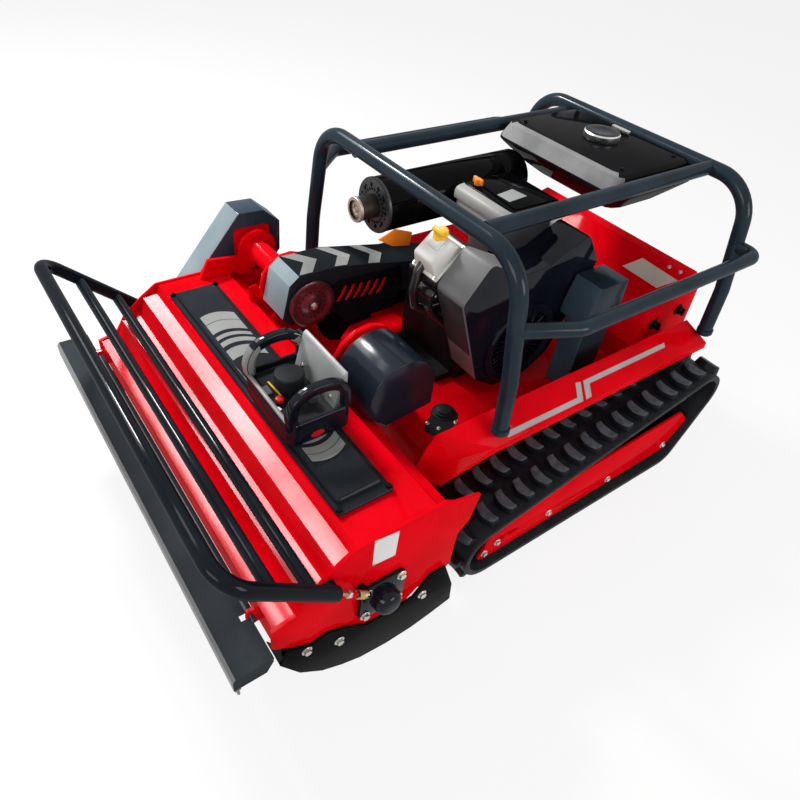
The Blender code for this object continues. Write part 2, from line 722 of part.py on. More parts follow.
def cage():
    """Roll cage of bent tube: two hoops, two top rails and two side bars, welded at their ends."""
    foot = CAGE_R * 0.134
    for name, y in (("front", HOOP_FRONT_Y), ("rear", HOOP_REAR_Y)):
        slope = (FENDER_RIDGE_Z - FENDER_EDGE_Z) / (FENDER_EDGE_X - FENDER_RIDGE_X)
        foot_z = FENDER_EDGE_Z + (FENDER_EDGE_X - HOOP_FOOT_X) * slope + CAGE_R * slope + foot
        line = [(HOOP_FOOT_X, y, foot_z), (HOOP_KINK[0], y, HOOP_KINK[1]), (HOOP_TOP_X, y, CAGE_TOP_Z)]
        path = line + [(-x, y_, z) for x, y_, z in reversed(line)]
        seat(tube(f"cage_{name}_hoop", SLATE, fillet(path, HOOP_BEND_R, 4), CAGE_R, 3))
    clear = CAGE_R + SEAT_GAP
    for side in (1, -1):
        name = side_name(side)
        rail = [(side * RAIL_X, HOOP_FRONT_Y + clear, RAIL_Z[side]),
                (side * RAIL_X, HOOP_REAR_Y - clear, RAIL_Z[side])]
        seat(tube(f"cage_top_rail_{name}", SLATE, rail, CAGE_R - 0.001, 3))
        bar_z = GUARD_Z[side]
        share = (CAGE_TOP_Z - bar_z) / (CAGE_TOP_Z - HOOP_KINK[1])
        leg_x = HOOP_TOP_X + (HOOP_KINK[0] - HOOP_TOP_X) * share
        bar_r = CAGE_R - 0.002
        front, rear = GUARD_FRONT_Y[side], GUARD_REAR_Y[side]
        ends = []
        for hoop_y, bend_y in ((HOOP_FRONT_Y, front), (HOOP_REAR_Y, rear)):
            leg = Vector((leg_x, hoop_y))
            way = (Vector((GUARD_X[side], bend_y)) - leg).normalized()
            tip = leg + way * (clear + HOOP_LEAN * way.x)
            ends.append((side * tip.x, tip.y, bar_z))
        path = [ends[0], (side * GUARD_X[side], front, bar_z), (side * GUARD_X[side], rear, bar_z), ends[1]]
        seat(tube(f"cage_side_bar_{name}", SLATE, fillet(path, 0.045, 3), bar_r, 3))


def engine():
    """V-twin engine: crankcase with two finned cylinders at 90 degrees, its shaft and pulley."""
    block = box("engine_block", BLACK, CRANKCASE_X, (CRANK_Y - 0.105, CRANK_Y + 0.105),
                (DECK_Z + SEAT_GAP, CRANK_Z + 0.075), 0.010)
    foot = box("foot", BLACK, (CRANKCASE_X[0] + 0.02, CRANKCASE_X[1] - 0.02),
               (CRANK_Y - 0.150, CRANK_Y + 0.150), (DECK_Z + SEAT_GAP, DECK_Z + 0.022))
    block = join(block, foot)
    for x, lean in ((CYL_X[0], V_LEAN[0]), (CYL_X[1], -V_LEAN[1])):
        turn = Matrix.Rotation(math.radians(lean), 4, "X")
        place = Matrix.Translation((x, CRANK_Y, CRANK_Z)) @ turn
        barrel = box("barrel", BLACK, (-0.036, 0.036), (-0.036, 0.036), (0.03, HEAD_R0 + 0.004))
        for k in range(5):
            r = CYL_R0 + 0.026 * (k + 1)
            fin = box("fin", BLACK, (-0.046, 0.046), (-0.050, 0.050), (r, r + 0.008))
            barrel = join(barrel, fin)
        head = box("head", BLACK, (-0.050, 0.050), (-0.063, 0.063), (HEAD_R0, HEAD_R1), 0.006)
        barrel = join(barrel, head)
        barrel.data.transform(place)
        block = join(block, barrel)
        cover = box("valve_cover_front" if lean > 0 else "valve_cover_rear", CASTING,
                    (-0.048, 0.048), (-0.060, 0.060), (HEAD_R1 + SEAT_GAP, COVER_R1), 0.014, 2)
        cover.data.transform(place)
        seat(cover)
    shaft = rod("shaft", BLACK, 0.014, "X", (0, CRANK_Y, CRANK_Z - 0.006), (GUARD_BOX_X[0] + 0.012, -0.14), 12)
    groove = [(0, 0.035), (0.036, 0.035), (0.036, 0.028), (0.028, 0.0175), (0.036, 0.007), (0.036, 0.0), (0, 0.0)]
    pulley = turned("pulley", BLACK, groove, "X", (GUARD_BOX_X[0] + 0.020, CRANK_Y, CRANK_Z - 0.006), 16)
    regulator = box("regulator", BLACK, (-0.020, 0.100), (0.245, 0.440), (0.430, 0.570))
    block = join(block, shaft, pulley, regulator)
    seat(block)


def shroud():
    """Blower housing over the flywheel: a heart-shaped shell with the round air intake."""
    lobe = [(CRANK_Y - 0.059, 0.376), (CRANK_Y - 0.130, 0.424), (CRANK_Y - 0.227, 0.684),
            (CRANK_Y - 0.160, 0.772), (CRANK_Y - 0.045, 0.715)]
    outline = lobe + [(2 * CRANK_Y - y, z) for y, z in reversed(lobe)]
    shell = plate("blower_housing", GREY, rounded(outline, 0.016, 2), "X", SHROUD_X)
    core = plate("core", GREY, [(CRANK_Y + (y - CRANK_Y) * 0.955, CRANK_Z + 0.04 + (z - CRANK_Z - 0.04) * 0.955)
                                for y, z in outline], "X",
                 (SHROUD_X[0] - 0.01, SHROUD_X[1] - SHROUD_WALL))
    shell = cut(shell, core)
    intake = rod("intake", GREY, FAN_R, "X", (0, CRANK_Y, CRANK_Z),
                 (SHROUD_X[1] - 0.02, SHROUD_X[1] + 0.02), 24)
    seat(cut(shell, intake))
    centre = (SHROUD_X[1], CRANK_Y, CRANK_Z)
    screen = ring("fan_screen", BLACK, FAN_R + 0.010, FAN_R - 0.006, "X", centre, (SEAT_GAP, 0.010), 20)
    for k in range(4):
        bar = box("bar", BLACK, (SHROUD_X[1] + 0.004, SHROUD_X[1] + 0.009), (-FAN_R + 0.002, FAN_R - 0.002),
                  (-0.003, 0.003))
        bar.data.transform(Matrix.Translation((0, CRANK_Y, CRANK_Z))
                           @ Matrix.Rotation(math.radians(45 * k), 4, "X"))
        screen = join(screen, bar)
    seat(screen)
    hub = rod("cooling_fan", BLACK, 0.040, "X", (0, CRANK_Y, CRANK_Z),
              (CRANKCASE_X[1] + SEAT_GAP, SHROUD_X[1] - 0.012), 16, 0.004)
    for k in range(8):
        blade = box("blade", BLACK, (CRANKCASE_X[1] + 0.030, SHROUD_X[1] - 0.016), (0.036, FAN_R - 0.010),
                    (-0.0018, 0.0018))
        blade.data.transform(Matrix.Translation((0, CRANK_Y, CRANK_Z))
                             @ Matrix.Rotation(math.radians(45 * k), 4, "X"))
        hub = join(hub, blade)
    seat(hub, (CRANKCASE_X[1], CRANK_Y, CRANK_Z))


def air_filter():
    """Air filter case with its lid, the lid's knob and the oil filler cap on the front cylinder."""
    case = box("air_filter_case", GREY, FILTER_X, FILTER_Y, FILTER_Z, 0.012, 2)
    neck = box("neck", GREY, (-0.03, 0.05), (CRANK_Y - 0.010, CRANK_Y + 0.022),
               (CRANK_Z + 0.0753, FILTER_Z[0] + 0.004))
    seat(join(case, neck))
    base = FILTER_Z[1] + SEAT_GAP
    grow = 0.004
    lid = box("air_filter_lid", BLACK, (FILTER_X[0] - grow, FILTER_X[1] + grow),
              (FILTER_Y[0] - grow, FILTER_Y[1] + grow), (base, base + LID_T), 0.011, 2)
    seat(lid)
    spot = (FILTER_X[0] + 0.030, FILTER_Y[0] + 0.040, base + LID_T + SEAT_GAP)
    knob = turned("air_filter_knob", ORANGE, [(0, 0.016), (0.007, 0.016), (0.009, 0.014), (0.009, 0.0),
                                              (0, 0.0)], "Z", spot, 16)
    wing = box("wing", ORANGE, (spot[0] - 0.017, spot[0] + 0.017), (spot[1] - 0.004, spot[1] + 0.004),
               (spot[2] + 0.002, spot[2] + 0.018), 0.002)
    seat(join(knob, wing), spot)
    lean = Matrix.Rotation(math.radians(V_LEAN[0]), 4, "X")
    top = Matrix.Translation((CYL_X[0], CRANK_Y, CRANK_Z)) @ lean @ Vector((0.0, 0.034, COVER_R1 + SEAT_GAP))
    cap = turned("oil_filler_cap", YELLOW, [(0, 0.018), (0.010, 0.018), (0.0195, 0.016), (0.021, 0.013),
                                           (0.021, 0.003), (0.018, 0.0), (0, 0.0)], "Z", (0, 0, 0), 16)
    bar = box("bar", YELLOW, (-0.004, 0.004), (-0.019, 0.019), (0.012, 0.025), 0.002)
    cap = join(cap, bar)
    cap.data.transform(Matrix.Translation(top) @ lean)
    seat(cap, top)


def muffler():
    """Cylindrical muffler along Y, its perforated end guard and the tail pipe."""
    y0, y1 = MUFFLER_Y
    centre = (MUFFLER_X, 0, MUFFLER_Z)
    r = MUFFLER_R
    wall, lip, end = 0.003, TAIL_R - 0.004, y0 + 0.010
    profile = [(0, y1), (r - 0.014, y1), (r - 0.004, y1 - 0.005), (r, y1 - 0.014), (r, y0), (r - 0.006, y0),
               (r - 0.006, end), (TAIL_R, end), (TAIL_R, y0 - TAIL_L), (lip, y0 - TAIL_L), (lip, end + wall),
               (r - wall, end + wall), (r - wall, y1 - 0.016), (0, y1 - wall)]
    body = turned("muffler", BLACK, profile, "Y", centre, 20)
    bracket = box("bracket", BLACK, (MUFFLER_X + 0.010, MUFFLER_X + 0.040), (0.150, 0.190),
                  (CRANK_Z + 0.0753, MUFFLER_Z - 0.052))
    body = join(body, bracket)
    seat(body)
    holes = []
    for k in range(GUARD_HOLES):
        a = 2 * math.pi * k / GUARD_HOLES
        spot = (MUFFLER_X + 0.050 * math.cos(a), MUFFLER_Z + 0.050 * math.sin(a))
        holes.append(arc(spot, 0.006, 0, 288, 4))
    rim = arc((MUFFLER_X, MUFFLER_Z), r - SEAT_GAP, 0, 342, 19)
    neck = arc((MUFFLER_X, MUFFLER_Z), TAIL_R + 0.0012, 0, 337.5, 15)
    guard = plate("muffler_guard", STEEL, rim, "Y", (y0 - 0.0035, y0 - SEAT_GAP), [neck] + holes)
    seat(guard)


def fuel_tank():
    """Pressed fuel tank: flat top with a sloping shoulder and a narrower bowl, and its filler cap."""
    y0, y1 = TANK_Y
    mid = (y0 + y1) / 2
    depth = y1 - y0
    levels = [(0.0, 0.0, 0.0), (0.006, 0.010, 0.010), (0.042, 0.028, 0.022), (0.048, 0.029, 0.023),
              (0.056, 0.022, 0.016), (0.104, -0.020, -0.040), (TANK_DEPTH, -0.055, -0.075)]
    work = bmesh.new()
    rings = []
    for drop, grow_x, grow_y in levels:
        half_x = TANK_TOP_HALF + grow_x
        half_y = depth / 2 + grow_y
        corner = rounded([(-half_x, mid - half_y), (half_x, mid - half_y), (half_x, mid + half_y),
                          (-half_x, mid + half_y)], 0.030, 3)
        rings.append([work.verts.new((x, y, TANK_TOP_Z - drop)) for x, y in corner])
    for upper, lower in zip(rings, rings[1:]):
        for i in range(len(upper)):
            n = (i + 1) % len(upper)
            work.faces.new((upper[i], lower[i], lower[n], upper[n]))
    work.faces.new(rings[0])
    work.faces.new(list(reversed(rings[-1])))
    bmesh.ops.recalc_face_normals(work, faces=work.faces)
    mesh = bpy.data.meshes.new("fuel_tank")
    work.to_mesh(mesh)
    work.free()
    tank = mesh_object("fuel_tank", mesh, BLACK)
    for side in (1, -1):
        under = RAIL_Z[side] - (CAGE_R - 0.001) * math.cos(math.pi / 10) - SEAT_GAP
        ear = box("ear", BLACK, sorted((side * (TANK_TOP_HALF + 0.010), side * (RAIL_X + 0.006))),
                  (mid - 0.02, mid + 0.02), (under - 0.004, under))
        tank = join(tank, ear)
    seat(tank)
    spot = (0.0, CAP_Y, TANK_TOP_Z + SEAT_GAP)
    cap = turned("fuel_cap", STEEL, [(0, CAP_H), (CAP_R - 0.006, CAP_H), (CAP_R - 0.001, CAP_H - 0.002),
                                     (CAP_R, CAP_H - 0.005), (CAP_R, 0.005), (CAP_R - 0.003, 0.0), (0, 0.0)],
                 "Z", spot, 24)
    seat(cap, spot)


def controller_tower():
    """Folded control cabinet on the deck: a pedestal with a wider hood."""
    x0, x1 = TOWER_X
    y0, y1 = TOWER_Y
    hood = plate("controller_tower", SLATE, [(y0 - 0.022, 0.560), (y0 - 0.022, 0.590), (y0, TOWER_TOP),
                                            (y1, TOWER_TOP), (y1 + 0.004, 0.560)], "X", (x0 - 0.006, x1 + 0.006))
    post = box("post", SLATE, (x0, x1), (y0 - 0.004, y1), (DECK_Z + SEAT_GAP, 0.570), 0.004)
    seat(join(hood, post))


def drive_side():
    """Belt guard from the engine to the head's pivot, its louvred plate, and the jackshaft disc."""
    x0, x1 = GUARD_BOX_X
    low, rear = 0.465, CRANK_Y + 0.085
    w = GUARD_WALL
    outline = [(PIVOT_Y - 0.060, low), (PIVOT_Y - 0.082, 0.490), (PIVOT_Y - 0.061, 0.584),
               (PIVOT_Y - 0.033, 0.606), (PIVOT_Y + 0.085, 0.604), (0.060, 0.560), (rear - 0.020, 0.526),
               (rear, 0.500), (rear, low)]
    shell = plate("drive_guard", SLATE, outline, "X", (x0, x1))
    inner = [(PIVOT_Y - 0.045, low - 0.02), (PIVOT_Y - 0.082 + w, 0.491), (PIVOT_Y - 0.061 + w, 0.584 - w / 2),
             (PIVOT_Y - 0.033 + w / 2, 0.606 - w), (PIVOT_Y + 0.085, 0.604 - w), (0.060, 0.560 - w),
             (rear - 0.020 - w / 2, 0.526 - w), (rear - w, 0.500 - w / 2), (rear - w, low - 0.02)]
    shell = cut(shell, plate("core", SLATE, inner, "X", (x0 + w, x1 - w)))
    for x in (x0, x1 - w):
        leg = box("leg", SLATE, (x + SEAT_GAP, x + w - SEAT_GAP), (0.080, rear - 0.010),
                  (DECK_Z + SEAT_GAP, low + 0.01))
        shell = join(shell, leg)
    pass_hole = rod("pass", SLATE, 0.024, "X", (0, PIVOT_Y, PIVOT_Z), (x0 - 0.01, x1 + 0.01), 16)
    crank_hole = rod("crank", SLATE, 0.020, "X", (0, CRANK_Y, CRANK_Z - 0.006), (x1 - 0.01, x1 + 0.01), 12)
    seat(cut(shell, pass_hole, crank_hole))
    louvres = [slot((PIVOT_Y + 0.096 + 0.026 * k, 0.518 - 0.002 * k), 0.056, 0.009, 62, 2) for k in range(7)]
    face = [(PIVOT_Y + 0.062, 0.546), (PIVOT_Y + 0.080, 0.562), (0.036, 0.553), (0.046, 0.485),
            (0.022, 0.420), (PIVOT_Y + 0.110, 0.420), (PIVOT_Y + 0.080, 0.464)]
    seat(plate("louvred_plate", BLACK, face, "X", (x1 + SEAT_GAP, x1 + 0.004), louvres))
    depth = x1 - x0
    profile = [(0, 0.020), (0.012, 0.020), (0.014, 0.010), (0.040, 0.010), (DISC_R, 0.008), (DISC_R, 0.0),
               (0.018, 0.0), (0.018, -0.020), (0.040, -0.024), (0.040, 0.022 - depth), (0.018, 0.018 - depth),
               (0.018, 0.003 - depth), (0.0, 0.003 - depth)]
    disc = turned("jackshaft", BLACK, profile, "X", (x1 + 0.0005, PIVOT_Y, PIVOT_Z), 16)
    seat(disc, (x1, PIVOT_Y, PIVOT_Z))
    c0, c1 = PIVOT_COVER_X
    r = PIVOT_COVER_R
    half = [(PIVOT_Y + r, 0.455)] + arc((PIVOT_Y, PIVOT_Z), r, 0, 180, 14) + [(PIVOT_Y - r, 0.490),
                                                                             (PIVOT_Y - 0.04, 0.440)]
    cover = plate("pivot_cover", SLATE, half, "X", (c0, c1))
    inner = r - 0.004
    core = plate("core", SLATE, [(PIVOT_Y + inner, 0.430)] + arc((PIVOT_Y, PIVOT_Z), inner, 0, 180, 14)
                 + [(PIVOT_Y - inner, 0.480), (PIVOT_Y - 0.05, 0.430)], "X", (c0 - 0.01, c1 - 0.004))
    cover = cut(cover, core)
    seat(cover)


def pivot_tube():
    """Pivot tube with the square flange that bolts it to the side belt guard."""
    start = SIDE_GUARD_X[1] + SEAT_GAP
    obj = ring("pivot_tube", RED, PIVOT_TUBE_R, PIVOT_TUBE_BORE, "X", (0, PIVOT_Y, PIVOT_Z),
               (start, GUARD_BOX_X[0] - 0.004), 20)
    h = 0.054
    corners = [(PIVOT_Y - h, PIVOT_Z - h), (PIVOT_Y + h, PIVOT_Z - h), (PIVOT_Y + h, PIVOT_Z + h),
               (PIVOT_Y - h, PIVOT_Z + h)]
    flange = plate("flange", RED, rounded(corners, 0.010, 2), "X", (start, start + 0.008),
                   [arc((PIVOT_Y, PIVOT_Z), 0.027, 0, 330, 11)])
    return join(obj, flange)


def head_housing():
    """Welded flail housing: stepped skin between two end plates, open below, with its lift arms."""
    outer = [(-0.718, 0.275), (-0.718, 0.336), (-0.672, 0.344), (-0.652, 0.384), (-0.606, 0.396),
             (-0.586, 0.438), (-0.550, 0.448), (-0.538, 0.467), (-0.345, 0.467), (-0.325, 0.440),
             (-0.300, 0.432), (-0.288, 0.330), (-0.300, 0.225)]
    inner = []
    for i, p in enumerate(outer):
        before = Vector(outer[max(i - 1, 0)])
        after = Vector(outer[min(i + 1, len(outer) - 1)])
        way = (after - before).normalized()
        inner.append((p[0] + way.y * SKIN_T * 1.15, p[1] - way.x * SKIN_T * 1.15))
    skin = plate("head_housing", RED, outer + list(reversed(inner)), "X",
                 (-PLATE_IN - 0.002, PLATE_IN + 0.002))
    end = [(-0.724, 0.275), (-0.724, 0.338), (-0.672, 0.352), (-0.645, 0.395), (-0.590, 0.440),
           (-0.545, 0.470), (-0.325, 0.470), (-0.296, 0.451), (-0.224, 0.432), (-0.239, 0.354),
           (-0.267, 0.321), (-0.267, 0.208), (-0.300, 0.186), (-0.360, 0.182), (-0.389, 0.154),
           (-0.497, 0.134), (-0.631, 0.199)]
    bore = arc((ROTOR_Y, ROTOR_Z), HUB_R + 0.006, 0, 330, 11)
    for side in (1, -1):
        span = sorted((side * PLATE_IN, side * (PLATE_IN + PLATE_T)))
        skin = join(skin, plate("end", RED, end, "X", span, [bore]))
    arm = [(-0.430, 0.4655), (-0.330, 0.4655), (-0.300, 0.452), (PIVOT_Y + 0.050, PIVOT_Z - 0.030)]
    arm += arc((PIVOT_Y, PIVOT_Z), 0.058, -20, 190, 8) + [(-0.400, 0.520)]
    tube_bore = arc((PIVOT_Y, PIVOT_Z), PIVOT_TUBE_BORE + 0.003, 0, 330, 11)
    skin = join(skin, plate("arm", RED, arm, "X", (-0.486, -0.474), [tube_bore]), pivot_tube())
    stub = rod("stub", RED, PIVOT_TUBE_R, "X", (0, PIVOT_Y, PIVOT_Z), (0.083, PIVOT_COVER_X[0] + 0.012), 20)
    near = [(-0.380, 0.4655), (-0.330, 0.4655), (-0.300, 0.452)]
    near += arc((PIVOT_Y, PIVOT_Z), 0.092, -75, 190, 10) + [(-0.380, 0.500)]
    skin = join(skin, plate("near_arm", RED, near, "X", (0.082, 0.094)), stub)
    for x in (-EAR_X, EAR_X):
        ear = plate("ear", RED, [(-0.7165, 0.300), (-0.7165, 0.330), (-0.730, 0.3475), (-0.746, 0.3475),
                                 (-0.748, 0.320), (-0.735, 0.300)], "X", (x - 0.004, x + 0.004),
                    [arc((HINGE_Y, HINGE_Z), HINGE_R * 0.6 + BORE_GAP, 0, 315, 7)])
        skin = join(skin, ear)
    return seat(skin, (0, PIVOT_Y, PIVOT_Z))


def side_belt_guard():
    """Closed guard over the belt that runs from the pivot down to the rotor, on the right."""
    r = SIDE_GUARD_R
    jack, rotor = Vector((PIVOT_Y, PIVOT_Z)), Vector((ROTOR_Y, ROTOR_Z))
    way = (jack - rotor).normalized()
    side = Vector((-way.y, way.x))
    corners = [jack + way * r * 0.55 + side * r * 0.95, jack + way * r * 1.05 + side * r * 0.30,
               jack + way * r * 1.05 - side * r * 0.40, jack + way * r * 0.30 - side * r * 1.02,
               rotor - side * r * 0.90, rotor - way * r * 0.75 - side * r * 0.45,
               rotor - way * r * 0.80 + side * r * 0.40, rotor - way * r * 0.10 + side * r * 0.95]
    obj = plate("side_belt_guard", SLATE, [tuple(c) for c in corners], "X", SIDE_GUARD_X)
    middle = sum(corners, Vector((0, 0))) / len(corners)
    inner = [c - (c - middle).normalized() * GUARD_WALL * 1.2 for c in corners]
    core = plate("core", SLATE, [tuple(c) for c in inner], "X",
                 (SIDE_GUARD_X[0] + GUARD_WALL, SIDE_GUARD_X[1] - GUARD_WALL))
    for spot, radius in ((jack, 0.026), (rotor, SHAFT_R + BORE_GAP)):
        core = join(core, rod("bore", SLATE, radius, "X", (0, spot.x, spot.y),
                              (SIDE_GUARD_X[1] - 0.01, SIDE_GUARD_X[1] + 0.01), 24))
    return seat(cut(obj, core), (0, PIVOT_Y, PIVOT_Z))


def head_cover():
    """Black framed cover on top of the housing, with a raised lid."""
    base_z = 0.467 + SEAT_GAP
    frame = box("head_cover", BLACK, (-0.430, 0.430), (-0.534, -0.400), (base_z, base_z + 0.010), 0.003)
    lid = box("lid", BLACK, (-0.408, 0.408), (-0.524, -0.414), (base_z + 0.006, LID_TOP_Z), 0.006)
    return seat(join(frame, lid), (0, PIVOT_Y, PIVOT_Z))


def skid(side):
    """Curved skid shoe: a side plate bolted under the end plate and a rolled sole."""
    foot = [(-0.713, 0.205), (-0.668, 0.123), (-0.612, 0.068), (-0.560, 0.038), (-0.507, 0.016),
            (-0.432, 0.005), (-0.355, 0.007), (-0.300, 0.018), (-0.238, 0.034)]
    top = [(-0.246, 0.110), (-0.285, 0.215), (-0.330, 0.215), (-0.372, 0.160), (-0.420, 0.152),
           (-0.500, 0.160), (-0.560, 0.205), (-0.600, 0.225), (-0.640, 0.215), (-0.690, 0.245)]
    face = PLATE_IN + PLATE_T + SEAT_GAP
    span = sorted((side * face, side * (face + SKID_T)))
    obj = plate(f"skid_{side_name(side)}", BLACK, foot + top, "X", span)
    inner = [(y, z + SKID_T) for y, z in foot]
    sole_span = sorted((side * (PLATE_IN - 0.045), side * (face + SKID_T - SEAT_GAP)))
    sole = plate("sole", BLACK, foot + list(reversed(inner)), "X", sole_span)
    return seat(join(obj, sole), (0, PIVOT_Y, PIVOT_Z))


def bearing_hub(side):
    """Flanged bearing that carries the rotor's end in the end plate."""
    face = PLATE_IN + PLATE_T + SKID_T + 2 * SEAT_GAP
    h = 0.057
    corners = [(ROTOR_Y - h, ROTOR_Z - h), (ROTOR_Y + h, ROTOR_Z - h), (ROTOR_Y + h, ROTOR_Z + h),
               (ROTOR_Y - h, ROTOR_Z + h)]
    base = plate(f"bearing_hub_{side_name(side)}", BLACK, rounded(corners, 0.012, 2), "X",
                 sorted((side * (face - SKID_T - SEAT_GAP), side * (face + 0.004))))
    high = BEARING_NOSE
    nose = turned("nose", BLACK, [(0, high), (HUB_R - 0.010, high), (HUB_R - 0.004, high - 0.004),
                                  (HUB_R, high - 0.014), (HUB_R + 0.006, 0.0), (0, 0.0)], "X", (0, 0, 0), 18)
    if side < 0:
        nose.data.transform(Matrix.Rotation(math.pi, 4, "Z"))
    nose.data.transform(Matrix.Translation((side * (face + 0.001), ROTOR_Y, ROTOR_Z)))
    bore = rod("bore", BLACK, SHAFT_R + BORE_GAP, "X", (0, ROTOR_Y, ROTOR_Z),
               sorted((side * PLATE_IN, side * (SHAFT_END + SEAT_GAP))), 24)
    return seat(cut(join(base, nose), bore), (0, PIVOT_Y, PIVOT_Z))


def rotor():
    """Flail rotor: a hollow drum on bored stub shafts, with its knives in a helix."""
    reach = PLATE_IN - 0.010
    bore_r, disc = ROTOR_TUBE_R - ROTOR_WALL, reach - 0.012
    half = [(SHAFT_BORE, SHAFT_END), (SHAFT_R, SHAFT_END), (SHAFT_R, reach), (ROTOR_TUBE_R, reach)]
    core = [(bore_r, disc), (SHAFT_BORE, disc)]
    profile = half + [(r, -h) for r, h in reversed(half)]
    profile += [(r, -h) for r, h in reversed(core)] + core + half[:1]
    body = turned("flail_rotor", BLACK, profile, "X", (0, 0, 0), 18)
    for k in range(KNIFE_COUNT):
        x = -0.44 + 0.88 * k / (KNIFE_COUNT - 1)
        knife = plate("knife", STEEL, [(-0.014, ROTOR_TUBE_R - 0.006), (0.014, ROTOR_TUBE_R - 0.006),
                                       (0.014, 0.105), (0.030, ROTOR_TIP_R), (-0.010, ROTOR_TIP_R - 0.012)],
                      "X", (-0.012, 0.012))
        knife.data.transform(Matrix.Translation((x, 0, 0)) @ Matrix.Rotation(math.radians(103 * k), 4, "X"))
        body = join(body, knife)
    body.data.transform(Matrix.Translation((0, ROTOR_Y, ROTOR_Z)))
    return seat(body, (0, ROTOR_Y, ROTOR_Z))


def push_bar():
    """Bent push bar ahead of the head: a U of tube with two inner bars."""
    corner = (BAR_X, BAR_Y, BAR_Z)
    end = Vector((BAR_X, BAR_END_Y, BAR_END_Z))
    line = [tuple(end), corner, (-BAR_X, BAR_Y, BAR_Z), (-BAR_X, BAR_END_Y, BAR_END_Z)]
    bar = tube("push_bar", SLATE, fillet(line, 0.060, 4), BAR_R, 3)
    for y, z in INNER_BARS:
        inner = tube("inner", SLATE, [(BAR_X - 0.004, y, z), (-BAR_X + 0.004, y, z)], BAR_R - 0.003, 2)
        bar = join(bar, inner)
    for side in (1, -1):
        boss = rod("boss", SLATE, 0.013, "X", (0, BAR_END_Y - 0.004, BAR_END_Z + 0.004),
                   sorted((side * (PLATE_IN + PLATE_T + SEAT_GAP), side * BAR_X)), 12)
        bar = join(bar, boss)
    return seat(bar, (0, PIVOT_Y, PIVOT_Z))


def front_flap():
    """Folded front flap on its hinge rod, hung on the housing's two ears."""
    y1 = HINGE_Y - HINGE_R
    y0 = y1 - FLAP_DEPTH
    z = HINGE_Z
    t = FLAP_T
    outline = [(y0, z - FLAP_LIP), (y0, z - 0.008), (y0 + 0.006, z), (y1 + 0.004, z), (y1 + 0.004, z - t),
               (y0 + 0.008, z - t), (y0 + t, z - 0.010), (y0 + t, z - FLAP_LIP)]
    sheet = plate("front_flap", SLATE, outline, "X", (-FLAP_HALF, FLAP_HALF))
    closer = [(y0 + 0.001, z - FLAP_LIP), (y0 + 0.001, z - 0.009), (y0 + 0.007, z - 0.001),
              (y1 + 0.003, z - 0.001), (y1 + 0.003, z - t - 0.008), (y1 - 0.012, z - FLAP_LIP)]
    for x in (-FLAP_HALF, FLAP_HALF - t):
        sheet = join(sheet, plate("closer", SLATE, closer, "X", (x, x + t)))
    for x in (-EAR_X, EAR_X):
        sheet = cut(sheet, box("relief", SLATE, (x - 0.007, x + 0.007), (HINGE_Y - 0.022, HINGE_Y + 0.02),
                               (z - 0.01, z + 0.01)))
    barrel = rod("barrel", SLATE, HINGE_R, "X", (0, HINGE_Y, HINGE_Z), (-EAR_X + 0.010, EAR_X - 0.010), 12)
    sheet = join(sheet, barrel)
    pin = rod("pin", SLATE, HINGE_R * 0.6, "X", (0, HINGE_Y, HINGE_Z), (-EAR_X - 0.020, EAR_X + 0.020), 8)
    return seat(join(sheet, pin), (0, HINGE_Y, HINGE_Z))


def remote():
    """Handheld remote standing on the head's cover: a tray with two side loops and a tilted back panel."""
    z0 = LID_TOP_Z + SEAT_GAP
    x, y = REMOTE_X, REMOTE_Y
    hx, hy = REMOTE_HALF
    rim = z0 + REMOTE_H
    body = box("remote_body", BLACK, (x - hx, x + hx), (y - hy, y + hy), (z0, rim), 0.010)
    floor_z = rim - TRAY_DEPTH
    tray = box("tray", BLACK, (x - hx + 0.010, x + hx - 0.010), (y - hy + 0.010, y + hy - 0.030),
               (floor_z, rim + 0.02))
    body = cut(body, tray)
    panel = plate("panel", BLACK, [(y + hy - 0.034, floor_z - 0.002), (y + hy - 0.022, rim + 0.046),
                                   (y + hy - 0.008, rim + 0.050), (y + hy - 0.004, floor_z - 0.002)],
                  "X", (x - hx + 0.022, x + hx - 0.014))
    body = join(body, panel)
    for side in (1, -1):
        lx = x + side * (hx - 0.010)
        path = [(lx, y - hy + 0.012, rim - 0.012), (lx, y - hy + 0.040, rim + LOOP_H * 0.85),
                (lx, y - hy + 0.085, rim + LOOP_H), (lx, y + hy - 0.030, rim + LOOP_H),
                (lx, y + hy - 0.014, rim - 0.012)]
        body = join(body, tube("loop", BLACK, fillet(path, 0.028, 2), 0.009, 1))
    spot = (x + 0.010, y - hy + 0.028, floor_z)
    collar = ring("collar", BLACK, 0.0140, 0.0103, "Z", spot, (-0.002, 0.007), 18)
    seat(join(body, collar), (x, y, z0))
    top = floor_z + SEAT_GAP
    spots = (("remote_drive_knob", BLACK, -0.012, -0.012, 0.034, 0.052),
             ("remote_speed_knob", STEEL, 0.042, 0.012, 0.013, 0.030))
    for name, mat, dx, dy, r, h in spots:
        knob = turned(name, mat, [(0, h), (r - 0.003, h), (r, h - 0.003), (r, h * 0.45),
                                  (r * 0.6, h * 0.35), (r * 0.6, 0.0), (0, 0.0)], "Z",
                      (x + dx, y + dy, top), 18)
        seat(knob, (x + dx, y + dy, top))
    spot = (spot[0], spot[1], top + STOP_STROKE + 0.0002)
    button = turned("remote_stop_button", RED, [(0, 0.010), (0.008, 0.010), (0.010, 0.008), (0.010, 0.0),
                                                (0, 0.0)], "Z", spot, 18)
    seat(button, spot)


tracks()
chassis()
for hand in (1, -1):
    fender(hand)
rear_box()
cage()
engine()
shroud()
air_filter()
muffler()
fuel_tank()
controller_tower()
drive_side()
head_housing()
side_belt_guard()
head_cover()
for hand in (1, -1):
    skid(hand)
bearing_hub(1)
rotor()
push_bar()
front_flap()
remote()
